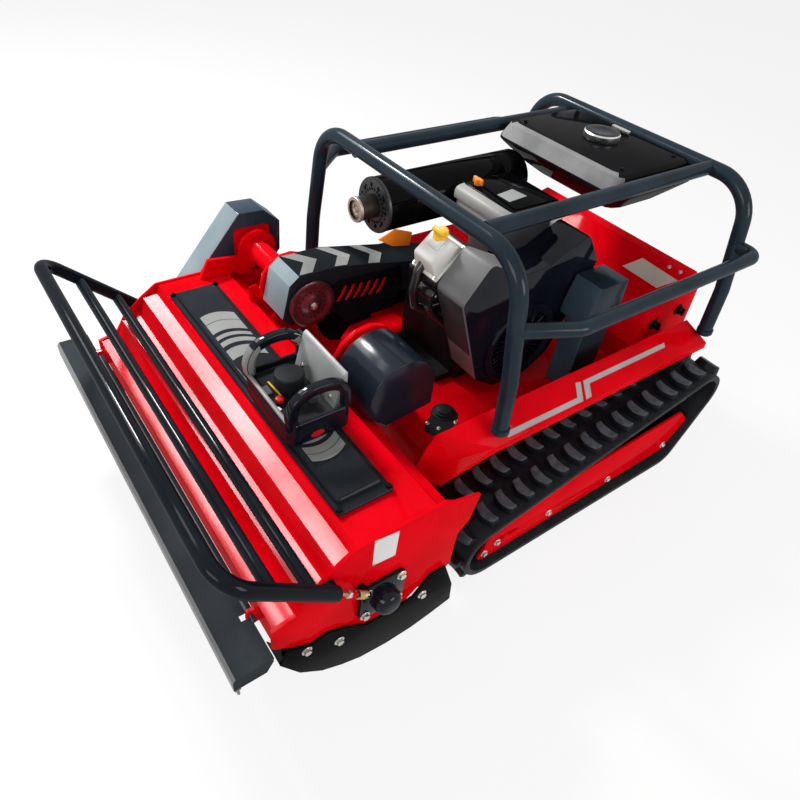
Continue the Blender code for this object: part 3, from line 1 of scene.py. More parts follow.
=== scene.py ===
# %% [markdown]
# # Dressing a tracked brush cutter
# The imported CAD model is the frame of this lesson: it gives every piece its place and size. Here each
# visible piece of the machine gets its real edges, its fasteners and its finish, and a plain studio is
# set around it. Everything is in metres, and the head of the machine points along -Y.

# %% Load the frame
import math

import bpy
from mathutils import Matrix, Vector


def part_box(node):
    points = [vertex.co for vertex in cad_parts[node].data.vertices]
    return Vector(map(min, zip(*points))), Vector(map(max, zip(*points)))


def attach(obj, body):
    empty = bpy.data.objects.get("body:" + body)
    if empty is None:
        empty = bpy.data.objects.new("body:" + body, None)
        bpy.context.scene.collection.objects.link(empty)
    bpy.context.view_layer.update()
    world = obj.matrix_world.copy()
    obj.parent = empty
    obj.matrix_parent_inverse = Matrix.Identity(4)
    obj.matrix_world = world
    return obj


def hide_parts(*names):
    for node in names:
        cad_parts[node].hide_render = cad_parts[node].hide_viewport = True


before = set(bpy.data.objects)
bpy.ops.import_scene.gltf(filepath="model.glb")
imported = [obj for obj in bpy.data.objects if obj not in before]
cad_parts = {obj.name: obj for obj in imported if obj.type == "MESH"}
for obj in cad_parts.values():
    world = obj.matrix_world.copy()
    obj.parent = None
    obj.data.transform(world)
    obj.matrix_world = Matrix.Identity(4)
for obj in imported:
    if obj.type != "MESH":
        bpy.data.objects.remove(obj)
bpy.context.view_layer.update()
box_low, box_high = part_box("rear_box")
SHIFT = Vector(((box_low.x + box_high.x) / 2, box_high.y - 0.812, 0.0))

# %% [markdown]
# ## Small tools of the bench
# Blender's operators work on whatever is selected, so each step first selects one piece and nothing else.
# Positions below are written in the machine's own frame, with x = 0 on its middle plane, and SHIFT takes
# them to the world.

# %% Selecting, editing and finishing one piece
SIDES = ((1, "left"), (-1, "right"))
UP, LEFT = Vector((0, 0, 1)), Vector((1, 0, 0))
AXES = {"X": (Vector((1, 0, 0)), Vector((0, 1, 0)), Vector((0, 0, 1))),
        "Y": (Vector((0, 1, 0)), Vector((1, 0, 0)), Vector((0, 0, 1))),
        "Z": (Vector((0, 0, 1)), Vector((1, 0, 0)), Vector((0, 1, 0)))}
WELD = 0.00003
MADE, TOLD = [], []


def only(*objs):
    bpy.ops.object.select_all(action="DESELECT")
    for obj in objs:
        obj.select_set(True)
    bpy.context.view_layer.objects.active = objs[0]
    return objs[0]


def mode(name):
    bpy.ops.object.mode_set(mode=name)


def settle(obj):
    """Put a piece's place into its mesh, so that its object sits at the origin."""
    only(obj)
    bpy.ops.object.transform_apply(location=True, rotation=True, scale=True)
    return obj


def close_up(obj):
    """Merge the seams, point the faces outwards and leave edit mode."""
    bpy.ops.mesh.select_all(action="SELECT")
    bpy.ops.mesh.remove_doubles(threshold=WELD)
    bpy.ops.mesh.normals_make_consistent(inside=False)
    mode("OBJECT")
    return settle(obj)


def soften(obj, width, segments=2, angle=30):
    """Round the sharp edges with a bevel, as a press brake or a casting leaves them."""
    only(obj)
    bevel = obj.modifiers.new("edges", "BEVEL")
    bevel.width = width
    bevel.segments = segments
    bevel.limit_method = "ANGLE"
    bevel.angle_limit = math.radians(angle)
    bpy.ops.object.modifier_apply(modifier=bevel.name)
    return obj


def finish_piece(obj, material, body, nodes=()):
    """Give a piece its material and its body, smooth its shading, and hide the CAD nodes that it stands for.
    """
    only(obj)
    bpy.ops.object.shade_smooth_by_angle(angle=math.radians(35))
    if material is not None:
        obj.data.materials.clear()
        obj.data.materials.append(material)
    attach(obj, body)
    if nodes:
        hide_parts(*nodes)
    MADE.append(obj)
    return obj


def tell():
    """Print the pieces that were finished since the last time."""
    print(len(MADE), "pieces, new:", ", ".join(obj.name for obj in MADE[len(TOLD):]))
    TOLD.extend(MADE[len(TOLD):])


print("hand tools ready")

# %% [markdown]
# ## Shapes from an outline
# A plate starts as one vertex that is extruded along its outline, filled and raised. A turned part is the
# same line of vertices, spun about its axle. A stretched cube would be quicker, but it could follow none
# of these outlines.

# %% Plates and turned parts
def traced(name, points):
    bpy.ops.object.select_all(action="DESELECT")
    bpy.ops.mesh.primitive_plane_add(size=0.002, location=SHIFT + points[0])
    obj = bpy.context.object
    obj.name = name
    mode("EDIT")
    bpy.ops.mesh.merge(type="CENTER")
    for here, there in zip(points, points[1:]):
        bpy.ops.mesh.extrude_vertices_move(TRANSFORM_OT_translate={"value": there - here})
    bpy.ops.mesh.select_all(action="SELECT")
    return obj


def plated(name, outline, axis, span):
    """Outline points are (y, z) across X, (x, z) across Y and (x, y) across Z."""
    along, across, up = AXES[axis]
    obj = traced(name, [along * span[0] + across * u + up * v for u, v in outline])
    bpy.ops.mesh.edge_face_add()
    bpy.ops.mesh.extrude_region_move(TRANSFORM_OT_translate={"value": along * (span[1] - span[0])})
    return close_up(obj)


def spun(name, profile, axis, centre, steps=48):
    """Profile points are (radius, height along the axis)."""
    along, across, _ = AXES[axis]
    centre = Vector(centre)
    obj = traced(name, [centre + along * h + across * r for r, h in profile])
    bpy.ops.mesh.spin(steps=steps, angle=math.tau, center=SHIFT + centre, axis=along)
    return close_up(obj)


print("outlines ready")

# %% [markdown]
# ## Bent tubes
# A tube bender leaves straight runs with arcs between them, so each corner gets an arc of the bender's
# radius. A curve with a round bevel then gives the tube. A circle extruded along the line by hand would
# be squeezed at every bend.

# %% Bends and tubes
def bent(points, radius, steps=8):
    """Points of a line whose inner corners are arcs of one radius."""
    pts = [Vector(p) for p in points]
    out = [pts[0]]
    for before, here, after in zip(pts, pts[1:], pts[2:]):
        a = (before - here).normalized()
        b = (after - here).normalized()
        angle = a.angle(b)
        reach = min(radius / math.tan(angle / 2), (before - here).length * 0.49, (after - here).length * 0.49)
        arc_r = reach * math.tan(angle / 2)
        hub = here + (a + b).normalized() * arc_r / math.sin(angle / 2)
        start, end = here + a * reach - hub, here + b * reach - hub
        turn = start.angle(end)
        for k in range(steps + 1):
            s = k / steps
            out.append(hub + (start * math.sin((1 - s) * turn) + end * math.sin(s * turn)) / math.sin(turn))
    return out + [pts[-1]]


def piped(name, points, radius, sides=28):
    """A round tube along a line of points, with flat ends."""
    curve = bpy.data.curves.new(name, "CURVE")
    curve.dimensions = "3D"
    curve.bevel_depth = radius
    curve.bevel_resolution = (sides - 4) // 2
    curve.use_fill_caps = True
    spline = curve.splines.new("POLY")
    spline.points.add(len(points) - 1)
    for point, co in zip(spline.points, points):
        point.co = (*(SHIFT + Vector(co)), 1.0)
    obj = bpy.data.objects.new(name, curve)
    bpy.context.scene.collection.objects.link(obj)
    only(obj)
    bpy.ops.object.convert(target="MESH")
    mode("EDIT")
    return close_up(bpy.context.object)


print("tubes ready")

# %% [markdown]
# ## Blocks, leaves and copies
# Castings start as a stretched cube, to be cut, drawn in and bevelled. Vinyl strips, labels and small
# plates are leaves: outlines that stand about half a millimetre off their surface. An image could draw
# them too, but a real edge stays sharp from close by. What repeats is modelled once and copied with its
# own mesh.

# %% Blocks, leaves and copies
def joined(name, *objs):
    """Several shapes as one piece."""
    only(*objs)
    if len(objs) > 1:
        bpy.ops.object.join()
    obj = bpy.context.object
    obj.name = name
    return obj


def block(name, xs, ys, zs):
    """A cube stretched between two values on each axis: only a start, to be cut, bevelled or inset."""
    bpy.ops.object.select_all(action="DESELECT")
    middle = Vector((sum(xs) / 2, sum(ys) / 2, sum(zs) / 2))
    bpy.ops.mesh.primitive_cube_add(size=1.0, location=SHIFT + middle)
    obj = bpy.context.object
    obj.name = name
    obj.scale = (abs(xs[1] - xs[0]), abs(ys[1] - ys[0]), abs(zs[1] - zs[0]))
    return settle(obj)


def leaf(name, points, normal, thick=0.0006):
    """A thin plate or strip of vinyl cut to an outline, standing proud of the surface that it lies on."""
    normal = Vector(normal).normalized()
    obj = traced(name, [Vector(p) + normal * 0.0002 for p in points])
    bpy.ops.mesh.edge_face_add()
    bpy.ops.mesh.extrude_region_move(TRANSFORM_OT_translate={"value": normal * thick})
    return close_up(obj)


def level_leaf(name, line, z, thick=0.0006):
    """A leaf on a level surface, from its outline's (x, y)."""
    return leaf(name, [(x, y, z) for x, y in line], UP, thick)


def copied(obj, move, turn=None):
    """A copy with its own mesh, turned about the world origin and then moved."""
    twin = bpy.data.objects.new(obj.name, obj.data.copy())
    bpy.context.scene.collection.objects.link(twin)
    twin.data.transform(Matrix.Translation(Vector(move)) @ (turn or Matrix.Identity(4)))
    return twin


print("blocks and leaves ready")

# %% [markdown]
# ## Copies of the CAD pieces
# A CAD node's mesh is loose triangles. A copy is merged and its flat faces are made whole first, because
# only then does a bevel find the true edges and leave the rest alone.

# %% Merged copies
def dressed(node, width=0.0, segments=2, angle=30):
    """A merged copy of a CAD node, with its flat faces whole again and its edges softened."""
    skin = bpy.data.objects.new(node + "_skin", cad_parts[node].data.copy())
    bpy.context.scene.collection.objects.link(skin)
    skin.data.materials.clear()
    only(skin)
    bpy.ops.mesh.customdata_custom_splitnormals_clear()
    mode("EDIT")
    bpy.ops.mesh.select_all(action="SELECT")
    bpy.ops.mesh.remove_doubles(threshold=WELD)
    bpy.ops.mesh.dissolve_limited(angle_limit=math.radians(0.6))
    mode("OBJECT")
    if width:
        soften(skin, width, segments, angle)
    return skin


def dress(node, material, body, width=0.0, segments=2, angle=30):
    """A node's softened copy, finished and put in the node's place."""
    return finish_piece(dressed(node, width, segments, angle), material, body, [node])


def second_tone(obj, material, chosen):
    """A second finish on the faces that a test picks."""
    obj.data.materials.append(material)
    for face in obj.data.polygons:
        if chosen(face):
            face.material_index = 1


print("copies ready")

# %% [markdown]
# ## Effects that several finishes share
# Paint, rubber and castings all vary a little from place to place. Each effect is a node group: a mottled
# colour, a fine bump, a varying roughness, settled dust, and fine scratches. A group is built once and
# placed in many finishes, so that the whole machine ages in the same way.

# %% Sockets, noise and sums
def new_group(name, inputs, outputs):
    tree = bpy.data.node_groups.new(name, "ShaderNodeTree")
    for title, kind, value in inputs:
        item = tree.interface.new_socket(title, in_out="INPUT", socket_type=kind)
        item.default_value = value
    for title, kind in outputs:
        tree.interface.new_socket(title, in_out="OUTPUT", socket_type=kind)
    return tree, tree.nodes.new("NodeGroupInput"), tree.nodes.new("NodeGroupOutput")


def feed(tree, socket, source):
    """A socket takes a number, a colour or a link."""
    if isinstance(source, (int, float)):
        socket.default_value = source
    elif isinstance(source, tuple):
        socket.default_value = (*source, 1.0)
    else:
        tree.links.new(source, socket)


def noise(tree, scale, detail=4.0, stretch=None):
    place = tree.nodes.new("ShaderNodeTexCoord").outputs["Object"]
    if stretch:
        mapping = tree.nodes.new("ShaderNodeMapping")
        mapping.inputs["Scale"].default_value = stretch
        tree.links.new(place, mapping.inputs["Vector"])
        place = mapping.outputs["Vector"]
    node = tree.nodes.new("ShaderNodeTexNoise")
    for title, source in (("Detail", detail), ("Vector", place), ("Scale", scale)):
        feed(tree, node.inputs[title], source)
    return node.outputs["Fac"]


def ranged(tree, value, low, high, out_low=0.0, out_high=1.0):
    node = tree.nodes.new("ShaderNodeMapRange")
    for title, source in (("Value", value), ("From Min", low), ("From Max", high), ("To Min", out_low),
                          ("To Max", out_high)):
        feed(tree, node.inputs[title], source)
    return node.outputs["Result"]


def mixed(tree, factor, a, b):
    node = tree.nodes.new("ShaderNodeMix")
    node.data_type = "RGBA"
    for index, source in ((0, factor), (6, a), (7, b)):
        feed(tree, node.inputs[index], source)
    return node.outputs[2]


def maths(tree, operation, a, b):
    node = tree.nodes.new("ShaderNodeMath")
    node.operation = operation
    feed(tree, node.inputs[0], a)
    feed(tree, node.inputs[1], b)
    return node.outputs[0]


print("node helpers ready")

# %% Five effects
COLOUR, NUMBER = "NodeSocketColor", "NodeSocketFloat"
MOTTLE, into, out = new_group("mottle", [("Dark", COLOUR, (0, 0, 0, 1)), ("Light", COLOUR, (1, 1, 1, 1)),
                                         ("Scale", NUMBER, 6.0)], [("Colour", COLOUR)])
patch = ranged(MOTTLE, noise(MOTTLE, into.outputs["Scale"]), 0.34, 0.66)
MOTTLE.links.new(mixed(MOTTLE, patch, into.outputs["Dark"], into.outputs["Light"]), out.inputs["Colour"])

GRAIN, into, out = new_group("grain", [("Scale", NUMBER, 300.0), ("Strength", NUMBER, 0.2),
                                       ("Distance", NUMBER, 0.001)], [("Normal", "NodeSocketVector")])
bump = GRAIN.nodes.new("ShaderNodeBump")
GRAIN.links.new(noise(GRAIN, into.outputs["Scale"], 2.0), bump.inputs["Height"])
GRAIN.links.new(into.outputs["Strength"], bump.inputs["Strength"])
GRAIN.links.new(into.outputs["Distance"], bump.inputs["Distance"])
GRAIN.links.new(bump.outputs["Normal"], out.inputs["Normal"])

ROUGH, into, out = new_group("rough_patches", [("Scale", NUMBER, 12.0), ("Low", NUMBER, 0.2),
                                               ("High", NUMBER, 0.4)], [("Value", NUMBER)])
patch = ranged(ROUGH, noise(ROUGH, into.outputs["Scale"]), 0.3, 0.7, into.outputs["Low"],
               into.outputs["High"])
ROUGH.links.new(patch, out.inputs["Value"])

DUST, into, out = new_group("dust", [("Colour", COLOUR, (0.5, 0.5, 0.5, 1)),
                                     ("Dust", COLOUR, (0.33, 0.31, 0.28, 1)), ("Amount", NUMBER, 0.2)],
                            [("Colour", COLOUR)])
facing = DUST.nodes.new("ShaderNodeNewGeometry").outputs["Normal"]
split = DUST.nodes.new("ShaderNodeSeparateXYZ")
DUST.links.new(facing, split.inputs[0])
up = ranged(DUST, split.outputs["Z"], -0.2, 1.0, 0.15, 1.0)
spread = ranged(DUST, noise(DUST, 38.0, 6.0), 0.40, 0.72)
amount = maths(DUST, "MULTIPLY", maths(DUST, "MULTIPLY", up, spread), into.outputs["Amount"])
DUST.links.new(mixed(DUST, amount, into.outputs["Colour"], into.outputs["Dust"]), out.inputs["Colour"])

SCRATCH, into, out = new_group("scratches", [("Scale", NUMBER, 30.0), ("Amount", NUMBER, 0.3)],
                               [("Mask", NUMBER)])
line = ranged(SCRATCH, noise(SCRATCH, into.outputs["Scale"], 8.0, (1.0, 9.0, 9.0)), 0.66, 0.70)
SCRATCH.links.new(maths(SCRATCH, "MULTIPLY", line, into.outputs["Amount"]), out.inputs["Mask"])
print("node groups", [g.name for g in bpy.data.node_groups])

# %% [markdown]
# ## The finishes
# The real machine is clean and nearly new: red and slate paint with a clear coat, black castings, grey
# and black mouldings, and rubber that is dusty on its worn tops. Each material keeps its own Principled
# shader. Its colour passes through the mottle, scratches and dust groups, its roughness through the patch
# group, and its bump through the grain group. Constants such as the coat or the metal share are set on
# the shader itself.

# %% A finish from the groups
def use(tree, group, **values):
    node = tree.nodes.new("ShaderNodeGroup")
    node.node_tree = group
    for title, value in values.items():
        feed(tree, node.inputs[title], value)
    return node


def finish(name, dark, light, rough, patches=7.0, grain=(400.0, 0.12), metal=0.0, coat=0.0, coat_rough=0.05,
           dust=0.0, worn=None, specular=0.2, settled=(0.33, 0.31, 0.28)):
    mat = bpy.data.materials.new(name)
    mat.use_nodes = True
    tree = mat.node_tree
    shader = tree.nodes["Principled BSDF"]
    for title, value in (("Metallic", metal), ("Coat Weight", coat), ("Coat Roughness", coat_rough),
                         ("Specular IOR Level", specular)):
        shader.inputs[title].default_value = value
    colour = use(tree, MOTTLE, Dark=dark, Light=light, Scale=patches).outputs["Colour"]
    if worn:
        scratches = use(tree, SCRATCH, Scale=26.0, Amount=worn[1]).outputs["Mask"]
        colour = mixed(tree, scratches, colour, worn[0])
    if dust:
        colour = use(tree, DUST, Colour=colour, Amount=dust, Dust=settled).outputs["Colour"]
    tree.links.new(colour, shader.inputs["Base Color"])
    spread = use(tree, ROUGH, Scale=patches * 2.2, Low=rough[0], High=rough[1])
    tree.links.new(spread.outputs["Value"], shader.inputs["Roughness"])
    skin = use(tree, GRAIN, Scale=grain[0], Strength=grain[1], Distance=0.0008)
    tree.links.new(skin.outputs["Normal"], shader.inputs["Normal"])
    return mat


print("finish helper ready")

# %% [markdown]
# ## Red paint
# The folded sheet is all one red, and the two steps in front of the head's lid mirror the bright sky. One
# coat weight for all would mirror everywhere or nowhere, so the glossy red has a coat that varies in
# patches.

# %% Reds, the pivot cover's navy and the pulley's casting
RED = finish("red_paint", (0.60, 0.0006, 0.004), (0.76, 0.0012, 0.008), (0.30, 0.42), grain=(90.0, 0.05),
             coat=0.05, coat_rough=0.06, specular=0.0)
GLOSS_RED = finish("red_gloss", (0.60, 0.0010, 0.006), (0.76, 0.0020, 0.012), (0.30, 0.42), patches=4.0,
                   grain=(30.0, 0.08), coat=1.0, coat_rough=0.15, specular=0.0)
gloss = GLOSS_RED.node_tree.nodes["Principled BSDF"].inputs
gloss["Coat IOR"].default_value = 1.70
sheen = use(GLOSS_RED.node_tree, ROUGH, Scale=3.2, Low=0.30, High=1.0)
GLOSS_RED.node_tree.links.new(sheen.outputs["Value"], gloss["Coat Weight"])
NAVY = finish("navy_gloss", (0.007, 0.010, 0.017), (0.012, 0.016, 0.025), (0.18, 0.28), coat=0.42,
              coat_rough=0.18, specular=0.0)
PULLEY = finish("pulley_casting", (0.09, 0.020, 0.028), (0.17, 0.060, 0.070), (0.20, 0.36), patches=14.0,
                metal=0.65, coat=0.2)
print("finishes", len(bpy.data.materials))

# %% [markdown]
# ## Slate, black and grey
# Finishes of one kind share their roughness and grain, as paint from one booth does, and differ in colour
# and coat. The shared values are written once for each kind: painted, blacked, glossed and moulded.

# %% Slate and black paints
PAINTED = {"rough": (0.20, 0.30), "grain": (160.0, 0.05), "specular": 0.0}
BLACKED = {"rough": (0.22, 0.36), "grain": (220.0, 0.08), "specular": 0.0}
GLOSSED = {"rough": (0.12, 0.20), "grain": (60.0, 0.04), "specular": 0.0}
SLATE = finish("slate_paint", (0.022, 0.038, 0.058), (0.034, 0.056, 0.082), **PAINTED, coat=0.30,
               coat_rough=0.05)
TUBE = finish("tube_paint", (0.009, 0.017, 0.025), (0.016, 0.029, 0.041), **PAINTED, coat=0.28,
              coat_rough=0.16)
TOWER = finish("cabinet_paint", (0.030, 0.052, 0.074), (0.048, 0.078, 0.106), **PAINTED, coat=0.25,
               coat_rough=0.12)
BAR_SLATE = finish("bar_paint", (0.004, 0.006, 0.009), (0.007, 0.010, 0.014), **PAINTED, coat=0.20,
                   coat_rough=0.07)
SKID_BLACK = finish("skid_black", (0.0012, 0.0012, 0.0016), (0.003, 0.003, 0.004), **BLACKED, coat=0.10)
HOSE_BLACK = finish("glossy_pipe", (0.010, 0.010, 0.011), (0.022, 0.022, 0.023), (0.16, 0.26), coat=0.5,
                    coat_rough=0.10, specular=0.2)
# Painted reflection: a pale grey for the tank's front shoulder, standing in for the sky's sheen on black.
TANK_PAINTED_SHEEN = finish("tank_painted_sheen", (0.12, 0.12, 0.12), (0.30, 0.30, 0.30), (0.25, 0.35), patches=5.0,
                    grain=(60.0, 0.04), coat=0.2, specular=0.0)
STRIPE = finish("stripe_vinyl", (0.36, 0.33, 0.33), (0.46, 0.42, 0.42), (0.24, 0.34), grain=(500.0, 0.08))
# Painted shade: a shaded copy of the slate, for the drive guard's faces that look away from the light.
SLATE_PAINTED_SHADE = finish("slate_shadow", (0.013, 0.015, 0.018), (0.019, 0.022, 0.026), (0.34, 0.46), coat=0.0,
                    specular=0.0)
FLAP_SLATE = finish("flap_paint", (0.027, 0.031, 0.035), (0.040, 0.046, 0.051), (0.34, 0.46), specular=0.0)
COVER_BLACK = finish("cover_black", (0.012, 0.014, 0.018), (0.020, 0.023, 0.028), **BLACKED, coat=0.12)
# Painted light: a lit copy of the slate, for the guards' faces that look forward towards the lamps.
SLATE_PAINTED_LIGHT = finish("slate_painted_light", (0.15, 0.20, 0.23), (0.27, 0.33, 0.36), (0.26, 0.38), patches=3.0, coat=0.2,
                    specular=0.0)
BLACK = finish("black_paint", (0.004, 0.005, 0.007), (0.008, 0.009, 0.012), **BLACKED, coat=0.12, dust=0.01)
TEXTURED = finish("textured_black", (0.006, 0.0065, 0.0075), (0.012, 0.013, 0.015), (0.34, 0.50),
                  grain=(900.0, 0.55), dust=0.01, specular=0.10)
CAST_BLACK = finish("cast_black", (0.003, 0.003, 0.004), (0.008, 0.008, 0.009), (0.30, 0.50),
                    grain=(260.0, 0.5), dust=0.015, specular=0.15)
GLOSS_BLACK = finish("gloss_black", (0.004, 0.005, 0.009), (0.007, 0.009, 0.015), **GLOSSED, coat=0.35)
TANK_BLACK = finish("tank_black", (0.004, 0.004, 0.005), (0.007, 0.007, 0.008), **GLOSSED, coat=0.10)
print("finishes", len(bpy.data.materials))

# %% Rubber and metals
RUBBER = finish("track_rubber", (0.005, 0.0055, 0.007), (0.010, 0.011, 0.014), (0.42, 0.62), patches=40.0,
                grain=(300.0, 0.5), dust=0.05, specular=0.12, settled=(0.12, 0.14, 0.17))
WORN_RUBBER = finish("worn_rubber", (0.040, 0.046, 0.055), (0.085, 0.095, 0.110), (0.45, 0.65), patches=60.0,
                     grain=(300.0, 0.6), dust=0.25, worn=((0.12, 0.13, 0.15), 0.6), specular=0.2,
                     settled=(0.12, 0.14, 0.17))
STEEL = finish("bright_steel", (0.50, 0.50, 0.49), (0.66, 0.66, 0.64), (0.22, 0.42), grain=(500.0, 0.15),
               metal=1.0)
PIPE_STEEL = finish("dark_pipe", (0.10, 0.105, 0.11), (0.17, 0.175, 0.18), (0.24, 0.36), metal=0.8)
ZINC = finish("zinc_bolts", (0.42, 0.41, 0.38), (0.62, 0.60, 0.55), (0.25, 0.42), metal=1.0)
BRASS = finish("brass", (0.30, 0.21, 0.11), (0.48, 0.36, 0.20), (0.28, 0.42), metal=1.0)
SOOTED = finish("sooted_steel", (0.020, 0.017, 0.015), (0.050, 0.040, 0.034), (0.30, 0.5), patches=30.0,
                grain=(200.0, 0.3), metal=0.5)
GUARD_STEEL = finish("guard_steel", (0.030, 0.031, 0.033), (0.060, 0.062, 0.065), (0.28, 0.42), metal=0.6)
HEATED = finish("heated_steel", (0.30, 0.24, 0.19), (0.52, 0.45, 0.38), (0.35, 0.6), patches=30.0,
                grain=(200.0, 0.3), metal=0.7, dust=0.05)
CASTING = finish("cast_aluminium", (0.60, 0.59, 0.56), (0.74, 0.73, 0.70), (0.38, 0.55), grain=(340.0, 0.45),
                 metal=0.10, dust=0.08)
print("finishes", len(bpy.data.materials))

# %% Mouldings, vinyl and bare labels
MOULDED = {"rough": (0.34, 0.48), "grain": (700.0, 0.25)}
GREY = finish("grey_moulding", (0.120, 0.121, 0.122), (0.175, 0.176, 0.177), **MOULDED, dust=0.04)
CHARCOAL = finish("charcoal_moulding", (0.020, 0.021, 0.023), (0.036, 0.037, 0.040), **MOULDED, dust=0.03)
WARM_GREY = finish("warm_grey_moulding", (0.27, 0.265, 0.25), (0.38, 0.375, 0.36), **MOULDED, dust=0.04)
YELLOW = finish("yellow_plastic", (0.84, 0.44, 0.02), (0.93, 0.55, 0.03), (0.30, 0.42))
ORANGE = finish("orange_plastic", (0.85, 0.18, 0.01), (0.95, 0.26, 0.02), (0.32, 0.45))
RED_PLASTIC = finish("red_plastic", (0.45, 0.006, 0.012), (0.60, 0.010, 0.018), (0.25, 0.35))
PALE = finish("bare_label", (0.62, 0.63, 0.62), (0.74, 0.75, 0.74), (0.35, 0.50), grain=(500.0, 0.1))
BEIGE = finish("bare_plate", (0.55, 0.47, 0.40), (0.68, 0.60, 0.53), (0.30, 0.45), grain=(500.0, 0.1))
VINYL = finish("grey_vinyl", (0.20, 0.205, 0.20), (0.29, 0.295, 0.285), (0.22, 0.34), grain=(500.0, 0.08))
SILVER = finish("silver_moulding", (0.30, 0.31, 0.31), (0.44, 0.45, 0.45), (0.26, 0.40), grain=(800.0, 0.6),
                metal=0.25)
print("finishes", len(bpy.data.materials))

# %% [markdown]
# ## Fasteners
# A hexagon bolt is a six-sided cylinder on a washer, with its top edge eased. A bump texture could hint
# at bolts, but their shadows tell the size of the machine, so they are real. A bolt is modelled once for
# each size and copied to every place on the same body, and the copies are one piece.

# %% Bolts
def bolt_rows(name, spots, axis, radius, body, material=ZINC, round_head=False):
    """Spots are points on the surface; axis is the direction that the heads face."""
    axis = Vector(axis).normalized()
    turn = Vector((0, 0, 1)).rotation_difference(axis).to_matrix().to_4x4()
    bpy.ops.object.select_all(action="DESELECT")
    bpy.ops.mesh.primitive_cylinder_add(vertices=16 if round_head else 6, radius=radius, depth=radius * 0.9,
                                        location=(0, 0, radius * 0.60))
    head = settle(bpy.context.object)
    soften(head, radius * 0.14, 2, 50)
    bpy.ops.object.select_all(action="DESELECT")
    bpy.ops.mesh.primitive_cylinder_add(vertices=20, radius=radius * 1.45, depth=radius * 0.32,
                                        location=(0, 0, radius * 0.10))
    washer = settle(bpy.context.object)
    soften(washer, radius * 0.08, 1, 50)
    first = joined(name, head, washer)
    copies = [copied(first, SHIFT + Vector(spot), turn) for spot in spots]
    bpy.data.objects.remove(first, do_unlink=True)
    return finish_piece(joined(name, *copies), material, body)


print("bolts ready")

# %% [markdown]
# ## Flail head
# The housing is folded sheet between two end plates, all painted red. Its CAD copy already has the folds,
# so it only needs the rounded bends of a press brake, which a narrow bevel gives. The skid shoes, the
# side belt guard and the hinged front flap are plates too. The glossy steps are faces of the housing that
# are picked by their normal and place, as one would select them by hand.

# %% Housing, flap, guard and skids
FRONT_STEPS_Y = -0.53
second_tone(dress("head_housing", RED, "head", 0.0022, 3), GLOSS_RED,
            lambda face: face.normal.z > 0.9 and face.center.y - SHIFT.y < FRONT_STEPS_Y)
flap = dress("front_flap", FLAP_SLATE, "flap", 0.0018)
low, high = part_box("front_flap")
x, y, z = high.x - SHIFT.x - 0.006, low.y - SHIFT.y + 0.006, low.z
shank = piped("pin", [(x, y, z + 0.014), (x, y + 0.004, z - 0.030)], 0.0032, 12)
nut = block("nut", (x - 0.006, x + 0.006), (y - 0.004, y + 0.008), (z - 0.006, z + 0.001))
finish_piece(joined("flap_pin", shank, nut), PIPE_STEEL, "flap")
# Painted light: the flap's faces that look forward get a lighter grey, where light falls on its front.
second_tone(flap, GREY, lambda face: face.normal.y < -0.4)
# Painted light: the side belt guard's faces that look forward get the pale slate.
second_tone(dress("side_belt_guard", SLATE, "head", 0.003, 3), SLATE_PAINTED_LIGHT,
            lambda face: face.normal.y < -0.45 and face.normal.z > -0.2)
for side in ("left", "right"):
    dress("skid_" + side, SKID_BLACK, "head", 0.0015)
tell()

# %% [markdown]
# ## Lid of the head
# A black lid closes the head and carries an emblem of wide grey bands, some bowed one way and some the
# other. A band's two edges are parabolas, which need only a formula, and its points are spread along
# them.

# %% Lid, its screws and its bands
LID_Z = 0.492
dress("head_cover", COVER_BLACK, "head", 0.003, 3)
corner_spots = [(x, y, 0.4775) for x in (-0.421, 0.421) for y in (-0.527, -0.407)]
bolt_rows("head_cover_screws", corner_spots, (0, 0, 1), 0.0055, "head", BLACK, round_head=True)


def lid_band(outer, inner, bow, middle):
    """A curved band of vinyl across the lid, between two bows."""
    rows = [-0.514 + 0.0086 * k for k in range(11)]
    near = [(outer + bow * (y - middle) ** 2, y) for y in rows]
    far = [(inner + bow * (y - middle) ** 2, y) for y in reversed(rows)]
    return level_leaf("band", near + far, LID_Z)


bands = [lid_band(a, b, 8.0, -0.482) for a, b in ((-0.279, -0.2415), (-0.2395, -0.198), (-0.184, -0.170),
                                                 (-0.158, -0.140), (-0.124, -0.085))]
bands += [lid_band(a, b, -8.0, -0.477) for a, b in ((0.306, 0.2845), (0.2825, 0.262), (0.250, 0.236))]
finish_piece(joined("head_cover_bands", *bands), VINYL, "head")
tell()

# %% [markdown]
# ## On the end plates
# The left end plate has a pale riveted plate, left bare here. Its four corners set the rivets' places
# too, drawn in towards the middle. Behind each skid is a black skirt, and three bolts hold the skid.

# %% Bare plate, skirts and skid bolts
END_X, SKID_X = 0.511, 0.5173
SKID_BOLTS = [(-0.652, 0.205), (-0.572, 0.164), (-0.345, 0.150)]
plate_spots = [(END_X, y, z) for y, z in ((-0.5022, 0.4680), (-0.4435, 0.4587), (-0.4450, 0.3790),
                                          (-0.5012, 0.3856))]
finish_piece(leaf("bare_plate_left", plate_spots, LEFT, 0.0010), PALE, "head")
middle = sum((Vector(p) for p in plate_spots), Vector()) / 4
bolt_rows("bare_plate_rivets", [Vector(p).lerp(middle, 0.09) + Vector((0.001, 0, 0)) for p in plate_spots],
          LEFT, 0.0018, "head", round_head=True)
for side, name in SIDES:
    skirt = plated("head_skirt_" + name, [(-0.700, 0.255), (-0.360, 0.215), (-0.360, 0.150), (-0.620, 0.150),
                                          (-0.700, 0.205)], "X", sorted((side * 0.4985, side * 0.5025)))
    finish_piece(skirt, SKID_BLACK, "head")
for side, name in SIDES:
    bolt_rows("skid_bolts_" + name, [(side * SKID_X, y, z) for y, z in SKID_BOLTS], (side, 0, 0),
              0.0085, "head")
tell()

# %% [markdown]
# ## Push bar
# The bar that pushes tall growth over is one bent tube with two straight inner bars, bolted on through
# bosses. Curves with a round bevel give the exact bends, and they become meshes before their place is
# fixed.

